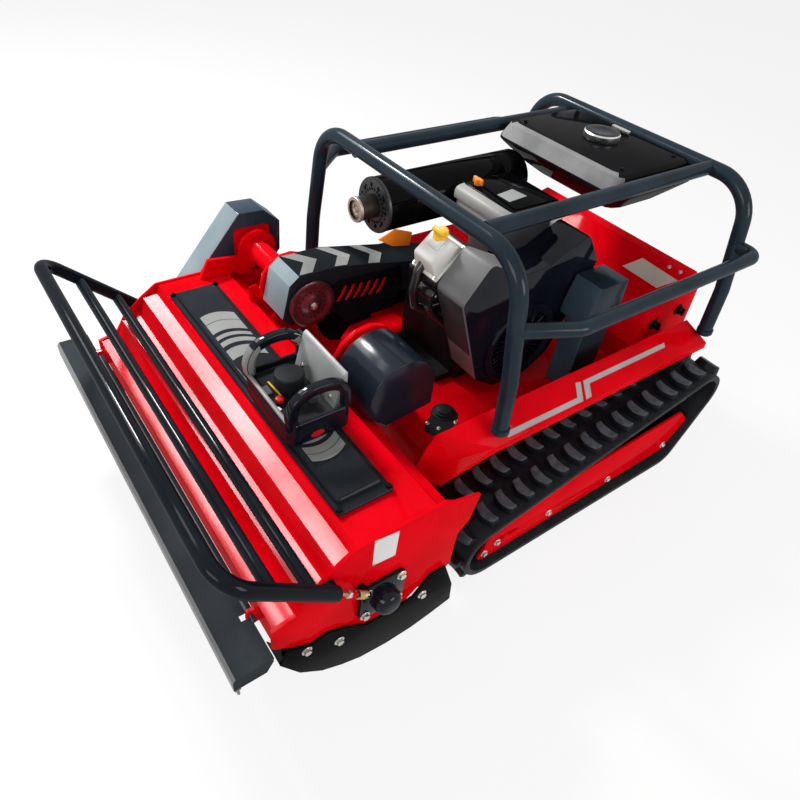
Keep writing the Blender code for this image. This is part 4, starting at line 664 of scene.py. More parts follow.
# %% Bent bar
BAR_X, BAR_R = 0.535, 0.016
BAR_FOOT, BAR_TOP = (-0.600, 0.402), (-0.812, 0.600)
bar_line = [(BAR_X, *BAR_FOOT), (BAR_X, *BAR_TOP), (-BAR_X, *BAR_TOP), (-BAR_X, *BAR_FOOT)]
outer_bar = piped("push_bar_outer", bent(bar_line, 0.060, 12), BAR_R, 28)
inner_bars = [piped("inner", [(BAR_X - 0.004, y, z), (-BAR_X + 0.004, y, z)], BAR_R - 0.003, 24)
              for y, z in ((-0.728, 0.518), (-0.648, 0.444))]
bosses = [spun("boss", [(0, 0.024), (0.011, 0.024), (0.013, 0.022), (0.013, 0.0), (0, 0.0)], "X",
               (x, -0.604, 0.406), 24) for x in (0.5113, -0.5353)]
push_bar = joined("push_bar_skin", outer_bar, *inner_bars, *bosses)
finish_piece(push_bar, BAR_SLATE, "head", ["push_bar"])
tell()

# %% [markdown]
# ## Adjusting screw
# A threaded rod runs on from the bar's left end to a lug beside the bearing, with a nut, a red collar and
# a coil of bronze wire. The coil is a curve that climbs round the rod, which is how a spring is wound. A
# screw modifier could do it too, but it turns about one of the main axes, and this rod leans.

# %% Rod, nut, collar and spring
ROD_START = Vector((BAR_X, *BAR_FOOT))
ROD_ALONG = Vector((0.0, 0.731, -0.683))


def along_rod(t):
    return ROD_START + ROD_ALONG * t


COIL_START, COIL_LENGTH, COIL_R, COIL_TURNS, COIL_STEPS = 0.068, 0.030, 0.0075, 6, 96
across_rod = ROD_ALONG.cross(LEFT)
coil = []
for k in range(COIL_STEPS + 1):
    share = k / COIL_STEPS
    turn = math.tau * COIL_TURNS * share
    spoke = LEFT * math.cos(turn) + across_rod * math.sin(turn)
    coil.append(along_rod(COIL_START + COIL_LENGTH * share) + spoke * COIL_R)
rod = piped("rod", [along_rod(-0.004), along_rod(0.106)], 0.0036, 16)
spring = piped("spring", coil, 0.0021, 8)
finish_piece(joined("bar_adjusting_rod", rod, spring), BRASS, "head")
nut = piped("bar_adjusting_nut", [along_rod(0.036), along_rod(0.044)], 0.0088, 6)
soften(nut, 0.0008, 2, 50)
finish_piece(nut, ZINC, "head")
collar = piped("bar_adjusting_collar", [along_rod(0.046), along_rod(0.062)], 0.0062, 20)
finish_piece(soften(collar, 0.0008, 2, 50), RED, "head")
lug = block("bar_adjusting_lug", (0.5112, 0.5440), (-0.536, -0.518), (0.318, 0.340))
finish_piece(soften(lug, 0.002, 2), BLACK, "head")
tell()

# %% [markdown]
# ## Left bearing
# The rotor's bearing shows on the left: a square flange with four bolts and a turned nose. The nose is
# modelled again as a profile spun about the rotor's axle, which gives it soft shoulders.

# %% Bearing and its bolts
ROTOR = Vector((0.0, -0.470, 0.262))
flange = plated("bearing_flange", [(ROTOR.y + u, ROTOR.z + v) for u, v in
                                   [(-0.045, -0.057), (0.045, -0.057), (0.057, -0.045), (0.057, 0.045),
                                    (0.045, 0.057), (-0.045, 0.057), (-0.057, 0.045), (-0.057, -0.045)]],
                "X", (0.5116, 0.5216))
soften(flange, 0.002, 2)
nose = spun("nose", [(0, 0.0575), (0.013, 0.0575), (0.020, 0.0565), (0.026, 0.053), (0.030, 0.047),
                     (0.032, 0.038), (0.033, 0.020), (0.038, 0.016), (0.040, 0.008), (0, 0.008)], "X",
            (0.5000, ROTOR.y, ROTOR.z), 40)
hub = joined("bearing_hub_skin", flange, nose)
finish_piece(hub, GLOSS_BLACK, "head", ["bearing_hub_left"])
bolt_rows("bearing_bolts", [(0.5216, ROTOR.y + u, ROTOR.z + v) for u in (-0.043, 0.043)
                            for v in (-0.043, 0.043)], LEFT, 0.0085, "head")
tell()

# %% [markdown]
# ## Tracks
# Each rubber track is a closed band with two rows of lugs outside and two rows of guide horns inside. The
# band follows three circles: the idler, the last roller and the sprocket. So its line is three arcs and
# the three straight runs that touch them, and any place on it can be worked out from its distance along
# the band.

# %% Line of the band
MID, HALF_WIDTH, BELT_T, LUG_H, LUG_PITCH = 0.407, 0.092, 0.018, 0.022, 0.060
IDLER, SPROCKET, WHEEL_R = Vector((-0.096, 0.113)), Vector((0.690, 0.275)), 0.073
ROLLER_YS, ROLLER_Z, ROLLER_R = (0.137, 0.389, 0.641), 0.083, 0.043
CIRCLES = [(IDLER, WHEEL_R), (Vector((ROLLER_YS[-1], ROLLER_Z)), ROLLER_R), (SPROCKET, WHEEL_R)]
stretches = []
for (c0, r0), (c1, r1) in zip(CIRCLES, CIRCLES[1:] + CIRCLES[:1]):
    way = c1 - c0
    turn = math.atan2(way.y, way.x) - math.acos((r0 - r1) / way.length)
    out = Vector((math.cos(turn), math.sin(turn)))
    stretches.append((c0 + out * r0, c1 + out * r1, out, turn))
line_pieces = []
for k, (start, end, out, turn) in enumerate(stretches):
    line_pieces.append((0.0, (end - start).length, start, end, out))
    centre, radius = CIRCLES[(k + 1) % 3]
    sweep = (stretches[(k + 1) % 3][3] - turn) % math.tau
    line_pieces.append((radius, sweep * radius, centre, turn, out))
BELT_LENGTH = sum(piece[1] for piece in line_pieces)
LUG_COUNT = round(BELT_LENGTH / LUG_PITCH)


def along_belt(s):
    """Point on the band's inner face and the outward direction there, as (y, z)."""
    s %= BELT_LENGTH
    for radius, length, first, second, out in line_pieces:
        if s <= length:
            if not radius:
                return first.lerp(second, s / length), out
            angle = second + s / radius
            out = Vector((math.cos(angle), math.sin(angle)))
            return first + out * radius, out
        s -= length
    return along_belt(0.0)


def band_outline(height, steps=240):
    return [tuple(point + out * height) for point, out in (along_belt(BELT_LENGTH * k / steps)
                                                           for k in range(steps))]


print("belt length", round(BELT_LENGTH, 3), "lugs in a row", LUG_COUNT)

# %% [markdown]
# ## Lugs, horns and belts
# The band's outline is drawn twice, a plate is raised from each, and a boolean takes the inner one out of
# the outer one. A lug is a bowed paddle that is modelled once, drawn in towards its worn top, and copied
# along the band. An array with a curve modifier could do it too, but it bends each copy with the band.

# %% Lug
def drawn_in(obj, high, across, along, aside=0.0):
    """Scale the top of a block or plate in edit mode, about a place over its middle or beside it in y."""
    for vertex in obj.data.vertices:
        vertex.select = vertex.co.z > high - 0.0001
    for edge in obj.data.edges:
        edge.select = all(obj.data.vertices[v].select for v in edge.vertices)
    for polygon in obj.data.polygons:
        polygon.select = all(obj.data.vertices[v].select for v in polygon.vertices)
    xs = [v.co.x for v in obj.data.vertices]
    ys = [v.co.y for v in obj.data.vertices]
    middle = Vector(((min(xs) + max(xs)) / 2, (min(ys) + max(ys)) / 2 + aside, high))
    only(obj)
    mode("EDIT")
    bpy.ops.transform.resize(value=(across, along, 1.0), center_override=middle)
    mode("OBJECT")
    return obj


def paddle(sign):
    """A lug for one of the two rows, lying on the plane z = 0 about the band's middle."""
    front, back = [], []
    for k in range(9):
        x = 0.011 + 0.070 * k / 8
        bow = 0.010 * ((x - 0.046) / 0.035) ** 2
        wide = 0.0185 - 0.004 * abs(x - 0.046) / 0.035
        front.append((sign * x, bow - wide))
        back.append((sign * x, bow + wide))
    lug = plated("lug", front + back[::-1], "Z", (BELT_T - 0.003, BELT_T + LUG_H))
    drawn_in(lug, BELT_T + LUG_H, 0.88, 0.70)
    soften(lug, 0.0028, 2, 30)
    lug.data.materials.append(RUBBER)
    lug.data.materials.append(WORN_RUBBER)
    for polygon in lug.data.polygons:
        polygon.material_index = 1 if polygon.normal.z > 0.45 else 0
    return lug


lugs = [paddle(1), paddle(-1)]
print("faces of a lug", len(lugs[0].data.polygons))

# %% Horn and belts
HORN_Y, HORN_Z = (-0.011, 0.011), (-0.013, 0.001)
horns = [drawn_in(block("horn", sorted((sign * 0.017, sign * 0.028)), HORN_Y, HORN_Z), HORN_Z[1], 1.1, 1.4)
         for sign in (1, -1)]
for horn in horns:
    horn.data.materials.append(RUBBER)
for side, name in SIDES:
    xs = (side * MID - HALF_WIDTH, side * MID + HALF_WIDTH)
    band = plated("track_belt_skin_" + name, band_outline(BELT_T), "X", xs)
    hollow = plated("hollow", band_outline(0.0), "X", (xs[0] - 0.01, xs[1] + 0.01))
    only(band)
    hole = band.modifiers.new("hole", "BOOLEAN")
    hole.object = hollow
    hole.solver = "EXACT"
    bpy.ops.object.modifier_apply(modifier=hole.name)
    bpy.data.objects.remove(hollow, do_unlink=True)
    soften(band, 0.0035, 2, 50)
    band.data.materials.append(RUBBER)
    parts = []
    for k in range(LUG_COUNT):
        point, out = along_belt(BELT_LENGTH * (k + 0.25) / LUG_COUNT)
        frame_turn = Matrix(((1, 0, 0), (0, out.y, out.x), (0, -out.x, out.y))).to_4x4()
        spot = SHIFT + Vector((side * MID, point.x, point.y))
        parts += [copied(piece, spot, frame_turn @ Matrix.Translation(-SHIFT)) for piece in (*lugs, *horns)]
    belt = joined("track_belt_skin_" + name, band, *parts)
    finish_piece(belt, None, "chassis", ["track_belt_" + name])
for spare in (*lugs, *horns):
    bpy.data.objects.remove(spare, do_unlink=True)
tell()

# %% [markdown]
# ## Inside the tracks
# A red plate is bolted over the axles on the outside and a black frame carries them on the inside. Idlers
# and rollers have two treads, and the band's horns run in the groove between them. Half of a wheel's
# profile is drawn and mirrored, and the whole is spun about its axle, as on a lathe.

# %% Frames and side plates
for side in ("left", "right"):
    dress("track_side_plate_" + side, RED, "chassis", 0.0012)
    dress("track_frame_" + side, BLACK, "chassis")
tell()

# %% Wheels and sprockets
def tread_wheel(name, radius, mid, y, z, body):
    """Idler or roller: two treads with a groove between for the track's guide horns."""
    half = [(0.0120, 0.047), (0.020, 0.047), (0.022, 0.044), (radius * 0.62, 0.044), (radius * 0.80, 0.050),
            (radius - 0.002, 0.053), (radius, 0.051), (radius, 0.035), (radius - 0.002, 0.033),
            (radius - 0.017, 0.031)]
    profile = half + [(r, -h) for r, h in reversed(half)] + half[:1]
    wheel = spun(name + "_skin", profile, "X", (mid, y, z), 48)
    return finish_piece(wheel, BLACK, body, [name])


TREAD_GAP = 0.002
PLATE_X = 0.480
PLATE_BOLTS = [(0.3886, 0.0854), (0.136, 0.0932), (0.6466, 0.0963), (-0.0591, 0.0992), (-0.1001, 0.0789)]
for side, mid in (("left", MID), ("right", -MID)):
    tread_wheel("idler_wheel_" + side, WHEEL_R - TREAD_GAP, mid, *IDLER, "idler_" + side)
    for n, y in enumerate(ROLLER_YS, 1):
        tread_wheel(f"road_roller_{n}_{side}", ROLLER_R - TREAD_GAP, mid, y, ROLLER_Z, f"roller_{n}_{side}")
    dress("drive_sprocket_" + side, STEEL, "sprocket_" + side, 0.0008, 1, 40)
for side, name in SIDES:
    bolt_rows("side_plate_bolts_" + name, [(side * PLATE_X, y, z) for y, z in PLATE_BOLTS], (side, 0, 0),
              0.0075, "chassis")
tell()

# %% [markdown]
# ## Chassis, fenders and rear box
# The tub, the fenders and the box across the back are folded sheet again: merged copies of the CAD nodes
# with rounded bends. The box's bends are rounder than the others.

# %% Folded sheet
for node, width in (("chassis_frame", 0.0015), ("fender_left", 0.0012), ("fender_right", 0.0012),
                    ("rear_box", 0.004)):
    dress(node, RED, "chassis", width)
tell()

# %% [markdown]
# ## Stripes and bare plates
# Two pale strips of vinyl lie on each fender's slope, cut to an angular outline. The outline is measured
# on the slope itself, along it and down it, so the strips can't leave the sheet, and the right ones are
# the left ones mirrored. The plate on the rear box is bare where the real one has a printed label.

# %% Stripes on the fenders
SLOPE_TOP = Vector((0.3722, 0.0, 0.5018))
SLOPE_DOWN = Vector((0.064, 0.0, -0.050)).normalized()
UPPER_STRIPE = [(0.2039, 0.0290), (0.5320, 0.0297), (0.5280, 0.0422), (0.2200, 0.0417), (0.2087, 0.0735),
                (0.1888, 0.0745)]
LOWER_STRIPE = [(0.1775, 0.0256), (0.1945, 0.0285), (0.1773, 0.0743), (-0.0771, 0.0728), (-0.0741, 0.0594),
                (0.1641, 0.0607)]
for side, name in SIDES:
    strips = []
    for outline in (UPPER_STRIPE, LOWER_STRIPE):
        spots = [SLOPE_TOP + SLOPE_DOWN * u + Vector((0, y, 0)) for y, u in outline]
        strips.append(leaf("strip", [(side * p.x, p.y, p.z) for p in spots], (side * 0.050, 0, 0.064)))
    finish_piece(joined("fender_stripe_" + name, *strips), STRIPE, "chassis")
tell()

# %% Plate and bolts on the rear box
REAR_SLOPE = (0, -0.713, 0.701)
rear_spots = [(0.1167, 0.6656, 0.5367), (0.1502, 0.7003, 0.5721), (0.2804, 0.6969, 0.5686),
              (0.2467, 0.6633, 0.5344)]
bolt_rows("rear_box_bolts", [(0.2326, 0.7120, 0.5838), (0.2690, 0.7140, 0.5858)], REAR_SLOPE, 0.0040,
          "chassis")
finish_piece(leaf("rear_box_bare_plate", rear_spots, REAR_SLOPE, 0.0010), BEIGE, "chassis")
tell()

# %% [markdown]
# ## Deck
# A ribbed rubber boot and an opening with three bolts lie on the deck in front of the engine. The boot is
# spun, and the opening is a dark leaf on the sheet, painted shade for the darkness that a hole cut through
# the tub would show; the hole would cost a boolean. The rear box's two key switches are merged copies that
# turn on their own bodies.

# %% Boot, opening and key switches
DECK_Z = 0.3302
boot = spun("deck_boot", [(0, 0.024), (0.014, 0.024), (0.020, 0.021), (0.018, 0.017), (0.026, 0.015),
                          (0.023, 0.010), (0.032, 0.008), (0.034, 0.0), (0, 0.0)], "Z",
            (0.1953, -0.0575, 0.326), 36)
finish_piece(boot, TEXTURED, "chassis")
opening_line = [(0.2250, -0.1420), (0.2033, -0.1266), (0.1776, -0.0734), (0.1700, -0.0400), (0.1880, -0.0200),
                (0.2200, -0.0250), (0.2420, -0.0500), (0.2546, -0.0810), (0.2500, -0.1327)]
# Painted shade: a dark leaf where the opening's inside would lie in shade.
opening = level_leaf("deck_opening", opening_line, DECK_Z, 0.0012)
finish_piece(soften(opening, 0.0005, 1), TEXTURED, "chassis")
bolt_rows("deck_opening_bolts", [(x, y, DECK_Z + 0.001) for x, y in ((0.206, -0.118), (0.236, -0.104),
                                                                     (0.240, -0.052))],
          (0, 0, 1), 0.0042, "chassis")
for n in (1, 2):
    dress(f"rear_switch_{n}", BLACK, f"switch_{n}", 0.0006, 1)
tell()

# %% [markdown]
# ## Roll cage
# Two hoops, two top rails and two bowed side bars of bent tube guard the engine. The bends are the same
# as the CAD frame's, but a curve's finer steps keep their outline round in the light. Half a hoop is
# written down and mirrored. Short collars close the joint between the hoops' feet and the fenders.

# %% Hoops
CAGE_R = 0.019
HOOP_YS = FRONT_Y, REAR_Y = -0.102, 0.683
LEG_X, KNEE_Z, SHOULDER_X, TOP_Z = 0.4115, 0.618, 0.364, 0.889
SLOPE, LEAN_OUT = 0.78125, 0.134
FOOT_Z = 0.450 + (0.015 + CAGE_R) * SLOPE + CAGE_R * LEAN_OUT
half_hoop = [(0.420, FOOT_Z), (LEG_X, KNEE_Z), (SHOULDER_X, TOP_Z)]
for name, y in zip(("front", "rear"), HOOP_YS):
    line = [(x, y, z) for x, z in half_hoop] + [(-x, y, z) for x, z in reversed(half_hoop)]
    tube = piped(f"cage_{name}_hoop_skin", bent(line, 0.110, 12), CAGE_R, 32)
    finish_piece(tube, TUBE, "chassis", [f"cage_{name}_hoop"])
tell()

# %% Rails, side bars and the hoops' feet
RAIL_X = 0.2406
for side, name, rail_z, guard_x, guard_z, front, rear in ((1, "left", TOP_Z, 0.450, 0.740, 0.030, REAR_Y),
                                                       (-1, "right", 0.870, 0.466, 0.772, -0.008, 0.615)):
    rail = piped(f"cage_top_rail_{name}_skin", [(side * RAIL_X, FRONT_Y + 0.012, rail_z),
                                                (side * RAIL_X, REAR_Y - 0.012, rail_z)], CAGE_R - 0.001, 32)
    finish_piece(rail, TUBE, "chassis", [f"cage_top_rail_{name}"])
    share = (TOP_Z - guard_z) / (TOP_Z - KNEE_Z)
    leg_x = side * (SHOULDER_X + (LEG_X - SHOULDER_X) * share)
    line = [(leg_x, FRONT_Y, guard_z), (side * guard_x, front, guard_z), (side * guard_x, rear, guard_z),
            (leg_x, REAR_Y, guard_z)]
    tube = piped(f"cage_side_bar_{name}_skin", bent(line, 0.045, 10), CAGE_R - 0.002, 32)
    finish_piece(tube, TUBE, "chassis", [f"cage_side_bar_{name}"])
collars = [piped("collar", [(side * 0.4210, y, 0.4835), (side * 0.4201, y, 0.4955)], 0.0215, 32)
           for side in (1, -1) for y in HOOP_YS]
finish_piece(joined("cage_foot_collars", *collars), TUBE, "chassis")
tell()

# %% [markdown]
# ## Engine
# The engine is a V-twin of black castings with bright valve covers. The castings keep their CAD shapes
# with eased edges. The front cover shows most, so it is modelled again from three blocks, two of them
# drawn in towards their tops, as a casting is so that it leaves its mould. It is built upright and then
# leaned with its cylinder, because a top is easier to draw in while its axis is upright.

# %% Block and valve covers
dress("engine_block", CAST_BLACK, "chassis", 0.0012)
CRANK = Vector((0.0, 0.150, 0.500))
VALVE_X = 0.0615
LEAN = Matrix.Rotation(math.radians(40.0), 4, "X")
CYLINDER = Matrix.Translation(CRANK + Vector((VALVE_X, 0, 0))) @ LEAN


def leaned(obj):
    """From the cylinder's own upright frame to its place, leaning 40 degrees forward."""
    obj.data.transform(Matrix.Translation(SHIFT) @ CYLINDER @ Matrix.Translation(-SHIFT))
    return obj


def tapered(name, half_x, half_y, low, high, narrow, corner):
    """A casting that is drawn in towards its top."""
    obj = block(name, (-half_x, half_x), (-half_y, half_y), (low, high))
    return soften(drawn_in(obj, high, *narrow, 0.004), corner, 3)


rim = tapered("rim", 0.0475, 0.054, 0.286, 0.295, (1.0, 1.0), 0.004)
crown = tapered("crown", 0.0430, 0.0480, 0.293, 0.336, (0.76, 0.72), 0.0065)
spout = tapered("spout", 0.0190, 0.0170, 0.325, 0.341, (0.9, 0.9), 0.004)
spout.data.transform(Matrix.Translation((0.004, 0.012, 0)))
valve = leaned(joined("valve_cover_front_skin", rim, crown, spout))
finish_piece(valve, CASTING, "chassis", ["valve_cover_front"])
flange_bolts = [CYLINDER @ Vector((x, y, 0.295)) for x in (-0.040, 0.040) for y in (-0.047, 0.047)]
bolt_rows("valve_cover_bolts", flange_bolts, LEAN @ Vector((0, 0, 1)), 0.0042, "chassis")
dress("valve_cover_rear", CASTING, "chassis", 0.003, 3)
tell()

# %% [markdown]
# ## In front of the block
# A bowed intake pipe, a breather hose and the starter's round can show in front of the block. The pipes
# are bent tubes through a few points, and the can is spun with its stepped ends.

# %% Pipes and starter
intake_line = [(0.052, -0.070, 0.716), (0.050, -0.086, 0.690), (0.050, -0.094, 0.640),
               (0.050, -0.082, 0.588), (0.060, -0.040, 0.566), (0.066, -0.012, 0.570)]
breather_line = [(0.096, -0.082, 0.622), (0.100, -0.066, 0.590), (0.100, -0.008, 0.534),
                 (0.100, 0.060, 0.455), (0.100, 0.095, 0.415)]
intake = piped("pipe", bent(intake_line, 0.016, 6), 0.0115, 20)
breather = piped("pipe", bent(breather_line, 0.030, 6), 0.0105, 18)
starter = spun("can", [(0, 0.026), (0.010, 0.026), (0.012, 0.022), (0.018, 0.021), (0.020, 0.017),
                       (0.020, -0.024), (0.0215, -0.026), (0.0215, -0.031), (0, -0.031)], "X",
               (0.074, -0.052, 0.632), 32)
finish_piece(joined("engine_front_pipes", intake, breather, starter), HOSE_BLACK, "chassis")
tell()

# %% [markdown]
# ## Blower housing and fan
# The housing is grey in front with a charcoal panel, and its round face is gloss black. One piece with
# two finishes keeps the seam tight where two pieces would show a gap. The screen over the fan is a spun
# ring and boss with spokes between them: one spoke is modelled and turned about the fan's axle.

# %% Blower housing
second_tone(dress("blower_housing", GREY, "chassis", 0.006, 3), GLOSS_BLACK,
            lambda face: face.normal.x > 0.4 or face.center.y - SHIFT.y > 0.100)
FRONT_TOP, FRONT_WAY = Vector((0, -0.077, 0.684)), Vector((0, 0.097, -0.260))
panel_spots = [FRONT_TOP + FRONT_WAY * t + LEFT * x for x, t in ((0.1130, 0.035), (0.2030, 0.035),
                                                                 (0.2030, 0.66), (0.1130, 0.66))]
panel = leaf("blower_front_panel", panel_spots, (0, -0.937, -0.350), 0.0020)
finish_piece(soften(panel, 0.0008, 2), CHARCOAL, "chassis")
tell()

# %% Fan and its screen
dress("cooling_fan", BLACK, "fan", 0.0006, 1)
SCREEN_X, SPOKES = 0.212, 32
ring = spun("fan_ring", [(0.096, 0.0003), (0.096, 0.006), (0.100, 0.009), (0.112, 0.010), (0.117, 0.006),
                         (0.118, 0.0003), (0.096, 0.0003)], "X", (SCREEN_X, CRANK.y, CRANK.z), 64)
spoke = block("spoke", (SCREEN_X + 0.0025, SCREEN_X + 0.0065), (CRANK.y + 0.030, CRANK.y + 0.099),
              (CRANK.z - 0.0012, CRANK.z + 0.0012))
centre = Matrix.Translation(SHIFT + CRANK)
turns = [centre @ Matrix.Rotation(math.tau * k / SPOKES, 4, "X") @ centre.inverted() for k in range(SPOKES)]
spokes = [copied(spoke, (0, 0, 0), turn) for turn in turns]
bpy.data.objects.remove(spoke, do_unlink=True)
boss = spun("boss", [(0, 0.0085), (0.020, 0.0085), (0.030, 0.0065), (0.033, 0.003), (0.030, 0.001),
                     (0, 0.001)], "X", (SCREEN_X, CRANK.y, CRANK.z), 40)
screen = joined("fan_screen_skin", ring, boss, *spokes)
finish_piece(screen, GLOSS_BLACK, "chassis", ["fan_screen"])
tell()

# %% [markdown]
# ## Air filter
# A warm grey case with a sloping shoulder, a black lid with a raised step, and an orange knob that holds
# it. The lid is modelled again as a plate with cut corners, so that its edges can be eased all round.

# %% Air filter
second_tone(dress("air_filter_case", WARM_GREY, "chassis", 0.003, 3), CHARCOAL,
            lambda face: face.normal.x > 0.5)
shoulder = plated("air_filter_shoulder", [(0.1045, 0.7850), (0.1045, 0.8040), (0.1075, 0.8105),
                                          (0.1140, 0.8150), (0.1340, 0.8185), (0.1340, 0.7850)],
                  "X", (-0.0735, 0.1140))
finish_piece(soften(shoulder, 0.003, 2), WARM_GREY, "chassis")
lid = plated("air_filter_lid_skin", [(-0.072, 0.142), (-0.066, 0.129), (0.104, 0.129), (0.1135, 0.136),
                                     (0.1135, 0.284), (0.108, 0.288), (-0.068, 0.288), (-0.074, 0.282)],
             "Z", (0.7966, 0.8206))
finish_piece(soften(lid, 0.004, 3), SKID_BLACK, "chassis", ["air_filter_lid"])
STEP_Z = 0.8203
step = level_leaf("air_filter_lid_step", [(-0.066, 0.158), (0.104, 0.142), (0.108, 0.280), (-0.066, 0.280)],
                  STEP_Z, 0.0036)
finish_piece(soften(step, 0.0010, 2), SKID_BLACK, "chassis")
finish_piece(level_leaf("air_filter_bare_plate", [(0.0283, 0.1523), (0.0708, 0.1539), (0.0650, 0.2170),
                                                  (0.0200, 0.2100)], STEP_Z + 0.0037, 0.0010),
             SILVER, "chassis")
dress("air_filter_knob", ORANGE, "filter_knob", 0.0015)
tell()

# %% [markdown]
# ## Oil cap
# The yellow cap sits on the front valve cover: a disc with a wide grip across it. It leans with the
# cover, so it is built in the same upright frame.

# %% Oil cap
cap_spot = Vector((0, 0.034, 0.3363))
grip = soften(block("grip", (-0.0200, 0.0200), (cap_spot.y - 0.0065, cap_spot.y + 0.0065), (0.3423, 0.3560)),
              0.0030, 2)
disc = spun("disc", [(0, 0.0075), (0.0165, 0.0075), (0.0195, 0.0060), (0.0200, 0.0050), (0.0200, 0.0015),
                     (0.018, 0.0), (0, 0.0)], "Z", cap_spot, 40)
finish_piece(leaned(joined("oil_filler_cap_skin", disc, grip)), YELLOW, "oil_cap",
             ["oil_filler_cap"])
tell()

# %% [markdown]
# ## Muffler
# The muffler is a rolled drum with two grooves, closed by a perforated end guard, and the exhaust leaves
# it by a short pipe that the heat has browned. Everything here is round about one axis, so it is spun
# from profiles, and a groove is three of their points.

# %% Drum and tail pipe
MUFFLER = Vector((-0.146, 0.0, 0.768))
drum = spun("muffler_drum", [(0, 0.385), (0.053, 0.385), (0.063, 0.380), (0.067, 0.371), (0.067, 0.300),
                             (0.0655, 0.297), (0.067, 0.294), (0.067, 0.0), (0.0655, -0.003), (0.067, -0.006),
                             (0.067, -0.085), (0.061, -0.085), (0.061, -0.075), (0.028, -0.075),
                             (0.028, -0.143), (0.024, -0.143), (0.024, -0.072), (0, -0.070)],
            "Y", MUFFLER, 56)
finish_piece(drum, SKID_BLACK, "chassis", ["muffler"])
dress("muffler_guard", GUARD_STEEL, "chassis")
tail = spun("tail_pipe", [(0.0284, -0.089), (0.0290, -0.120), (0.0300, -0.1425), (0.0300, -0.1445),
                          (0.0235, -0.1445), (0.0235, -0.089), (0.0284, -0.089)], "Y", MUFFLER, 40)
finish_piece(tail, SOOTED, "chassis")
second_tone(tail, HEATED, lambda face: face.normal.y < -0.5)
collar = spun("tail_ring", [(0.0300, -0.1435), (0.0312, -0.1420), (0.0312, -0.1370), (0.0300, -0.1355),
                            (0.0296, -0.1355), (0.0296, -0.1435), (0.0300, -0.1435)], "Y", MUFFLER, 40)
finish_piece(collar, HEATED, "chassis")
rim_ring = spun("muffler_guard_rim", [(0.0655, -0.088), (0.0675, -0.088), (0.0685, -0.086), (0.0685, -0.080),
                                      (0.0672, -0.079), (0.0655, -0.079), (0.0655, -0.088)], "Y", MUFFLER, 56)
finish_piece(rim_ring, GUARD_STEEL, "chassis")
tell()

# %% [markdown]
# ## Holes in the end guard
# Two rings of small holes, twelve outside and twenty-four inside, are dark leaves on the guard's face.
# Real holes would cost a boolean with 36 cutters and look the same. The pipe's end shows its stepped
# inside, and an orange heat shield stands beside it.

# %% Holes, pipe's end and heat shield
shield = plated("exhaust_shield", [(-0.1296, 0.7267), (-0.0814, 0.7446), (-0.027, 0.724), (-0.0314, 0.6891),
                                   (-0.0851, 0.6996)], "X", (-0.062, -0.058))
face_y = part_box("muffler_guard")[0].y
holes = []
for radius, offset in ((0.0520, 15), (0.0405, 0), (0.0405, 15)):
    for k in range(12):
        angle = math.radians(30 * k + offset)
        spot = MUFFLER + Vector((radius * math.cos(angle), 0, radius * math.sin(angle)))
        ring = [(spot.x + 0.0034 * math.cos(a), face_y - SHIFT.y, spot.z + 0.0034 * math.sin(a))
                for a in (math.tau * n / 10 for n in range(10))]
        holes.append(leaf("hole", ring, (0, -1, 0), 0.0004))
finish_piece(joined("muffler_guard_holes", *holes), SKID_BLACK, "chassis")
pipe_end = spun("tail_end", [(0, -0.139), (0.004, -0.139), (0.006, -0.1365), (0.011, -0.1365),
                             (0.013, -0.139), (0.018, -0.139), (0.020, -0.1365), (0.026, -0.1365),
                             (0.026, -0.133), (0, -0.133)], "Y", MUFFLER, 40)
finish_piece(pipe_end, HEATED, "chassis")
finish_piece(soften(shield, 0.0012, 2), ORANGE, "chassis")
tell()

# %% [markdown]
# ## Fuel tank
# The pressed tank keeps its CAD shape, and its front shoulder is painted a pale grey, a painted reflection of
# the sheen that the sky leaves on it. The filler cap is spun: a bright rim with a black top, and the top's
# faces are the ones that look up.

# %% Tank and cap
# Painted reflection: the faces that look forward and up get the pale grey sheen colour.
second_tone(dress("fuel_tank", TANK_BLACK, "chassis", 0.003, 3), TANK_PAINTED_SHEEN,
            lambda face: face.normal.y < -0.3 and face.normal.z > 0.3)
TANK_TOP_Z = 0.8983
latch = soften(block("fuel_cap_latch", (-0.040, 0.018), (0.618, 0.630), (0.8985, 0.9085)), 0.002, 2)
finish_piece(latch, ZINC, "chassis")
bolt_rows("fuel_tank_bolts", [(x, y, TANK_TOP_Z) for x in (-0.168, 0.168) for y in (0.414, 0.622)], (0, 0, 1),
          0.0048, "chassis", BLACK)
cap = spun("fuel_cap_skin", [(0, 0.0185), (0.020, 0.0185), (0.024, 0.0195), (0.041, 0.0200), (0.0455, 0.0190),
                             (0.048, 0.0155), (0.048, 0.004), (0.046, 0.0003), (0, 0.0003)], "Z",
           (0.0, 0.530, TANK_TOP_Z), 72)
finish_piece(cap, STEEL, "fuel_cap", ["fuel_cap"])
second_tone(cap, GLOSS_BLACK, lambda face: face.normal.z > 0.9)
tell()

# %% [markdown]
# ## Drive side
# A slate guard covers the belts from the engine to the head's pivot, with a louvred plate on its side. Its
# front faces are a pale slate as painted light, and the rest a dark slate as painted shade.
# The louvres show red edges on the black plate. One edge's outline is written down and moved along the
# row for all six.

# %% Belt guard and louvred plate
LOUVRE_X = -0.1655
LOUVRE = [(-0.018, -0.030), (-0.011, -0.030), (0.004, -0.010), (0.012, 0.012), (0.005, 0.012),
          (-0.004, -0.008)]
# Painted light and shade: faces that look forward get the pale slate, all others the shaded slate.
second_tone(dress("drive_guard", SLATE_PAINTED_SHADE, "chassis", 0.003, 3), SLATE_PAINTED_LIGHT,
            lambda face: face.normal.y < -0.5)
dress("louvred_plate", BLACK, "chassis")
louvre_red = []
for k in range(6):
    y, z = -0.154 + 0.026 * k, 0.530 - 0.002 * k
    louvre_red.append(leaf("louvre", [(LOUVRE_X, y + dy, z + dz) for dy, dz in LOUVRE], LEFT, 0.0012))
finish_piece(joined("louvre_edges", *louvre_red), RED, "chassis")
tell()

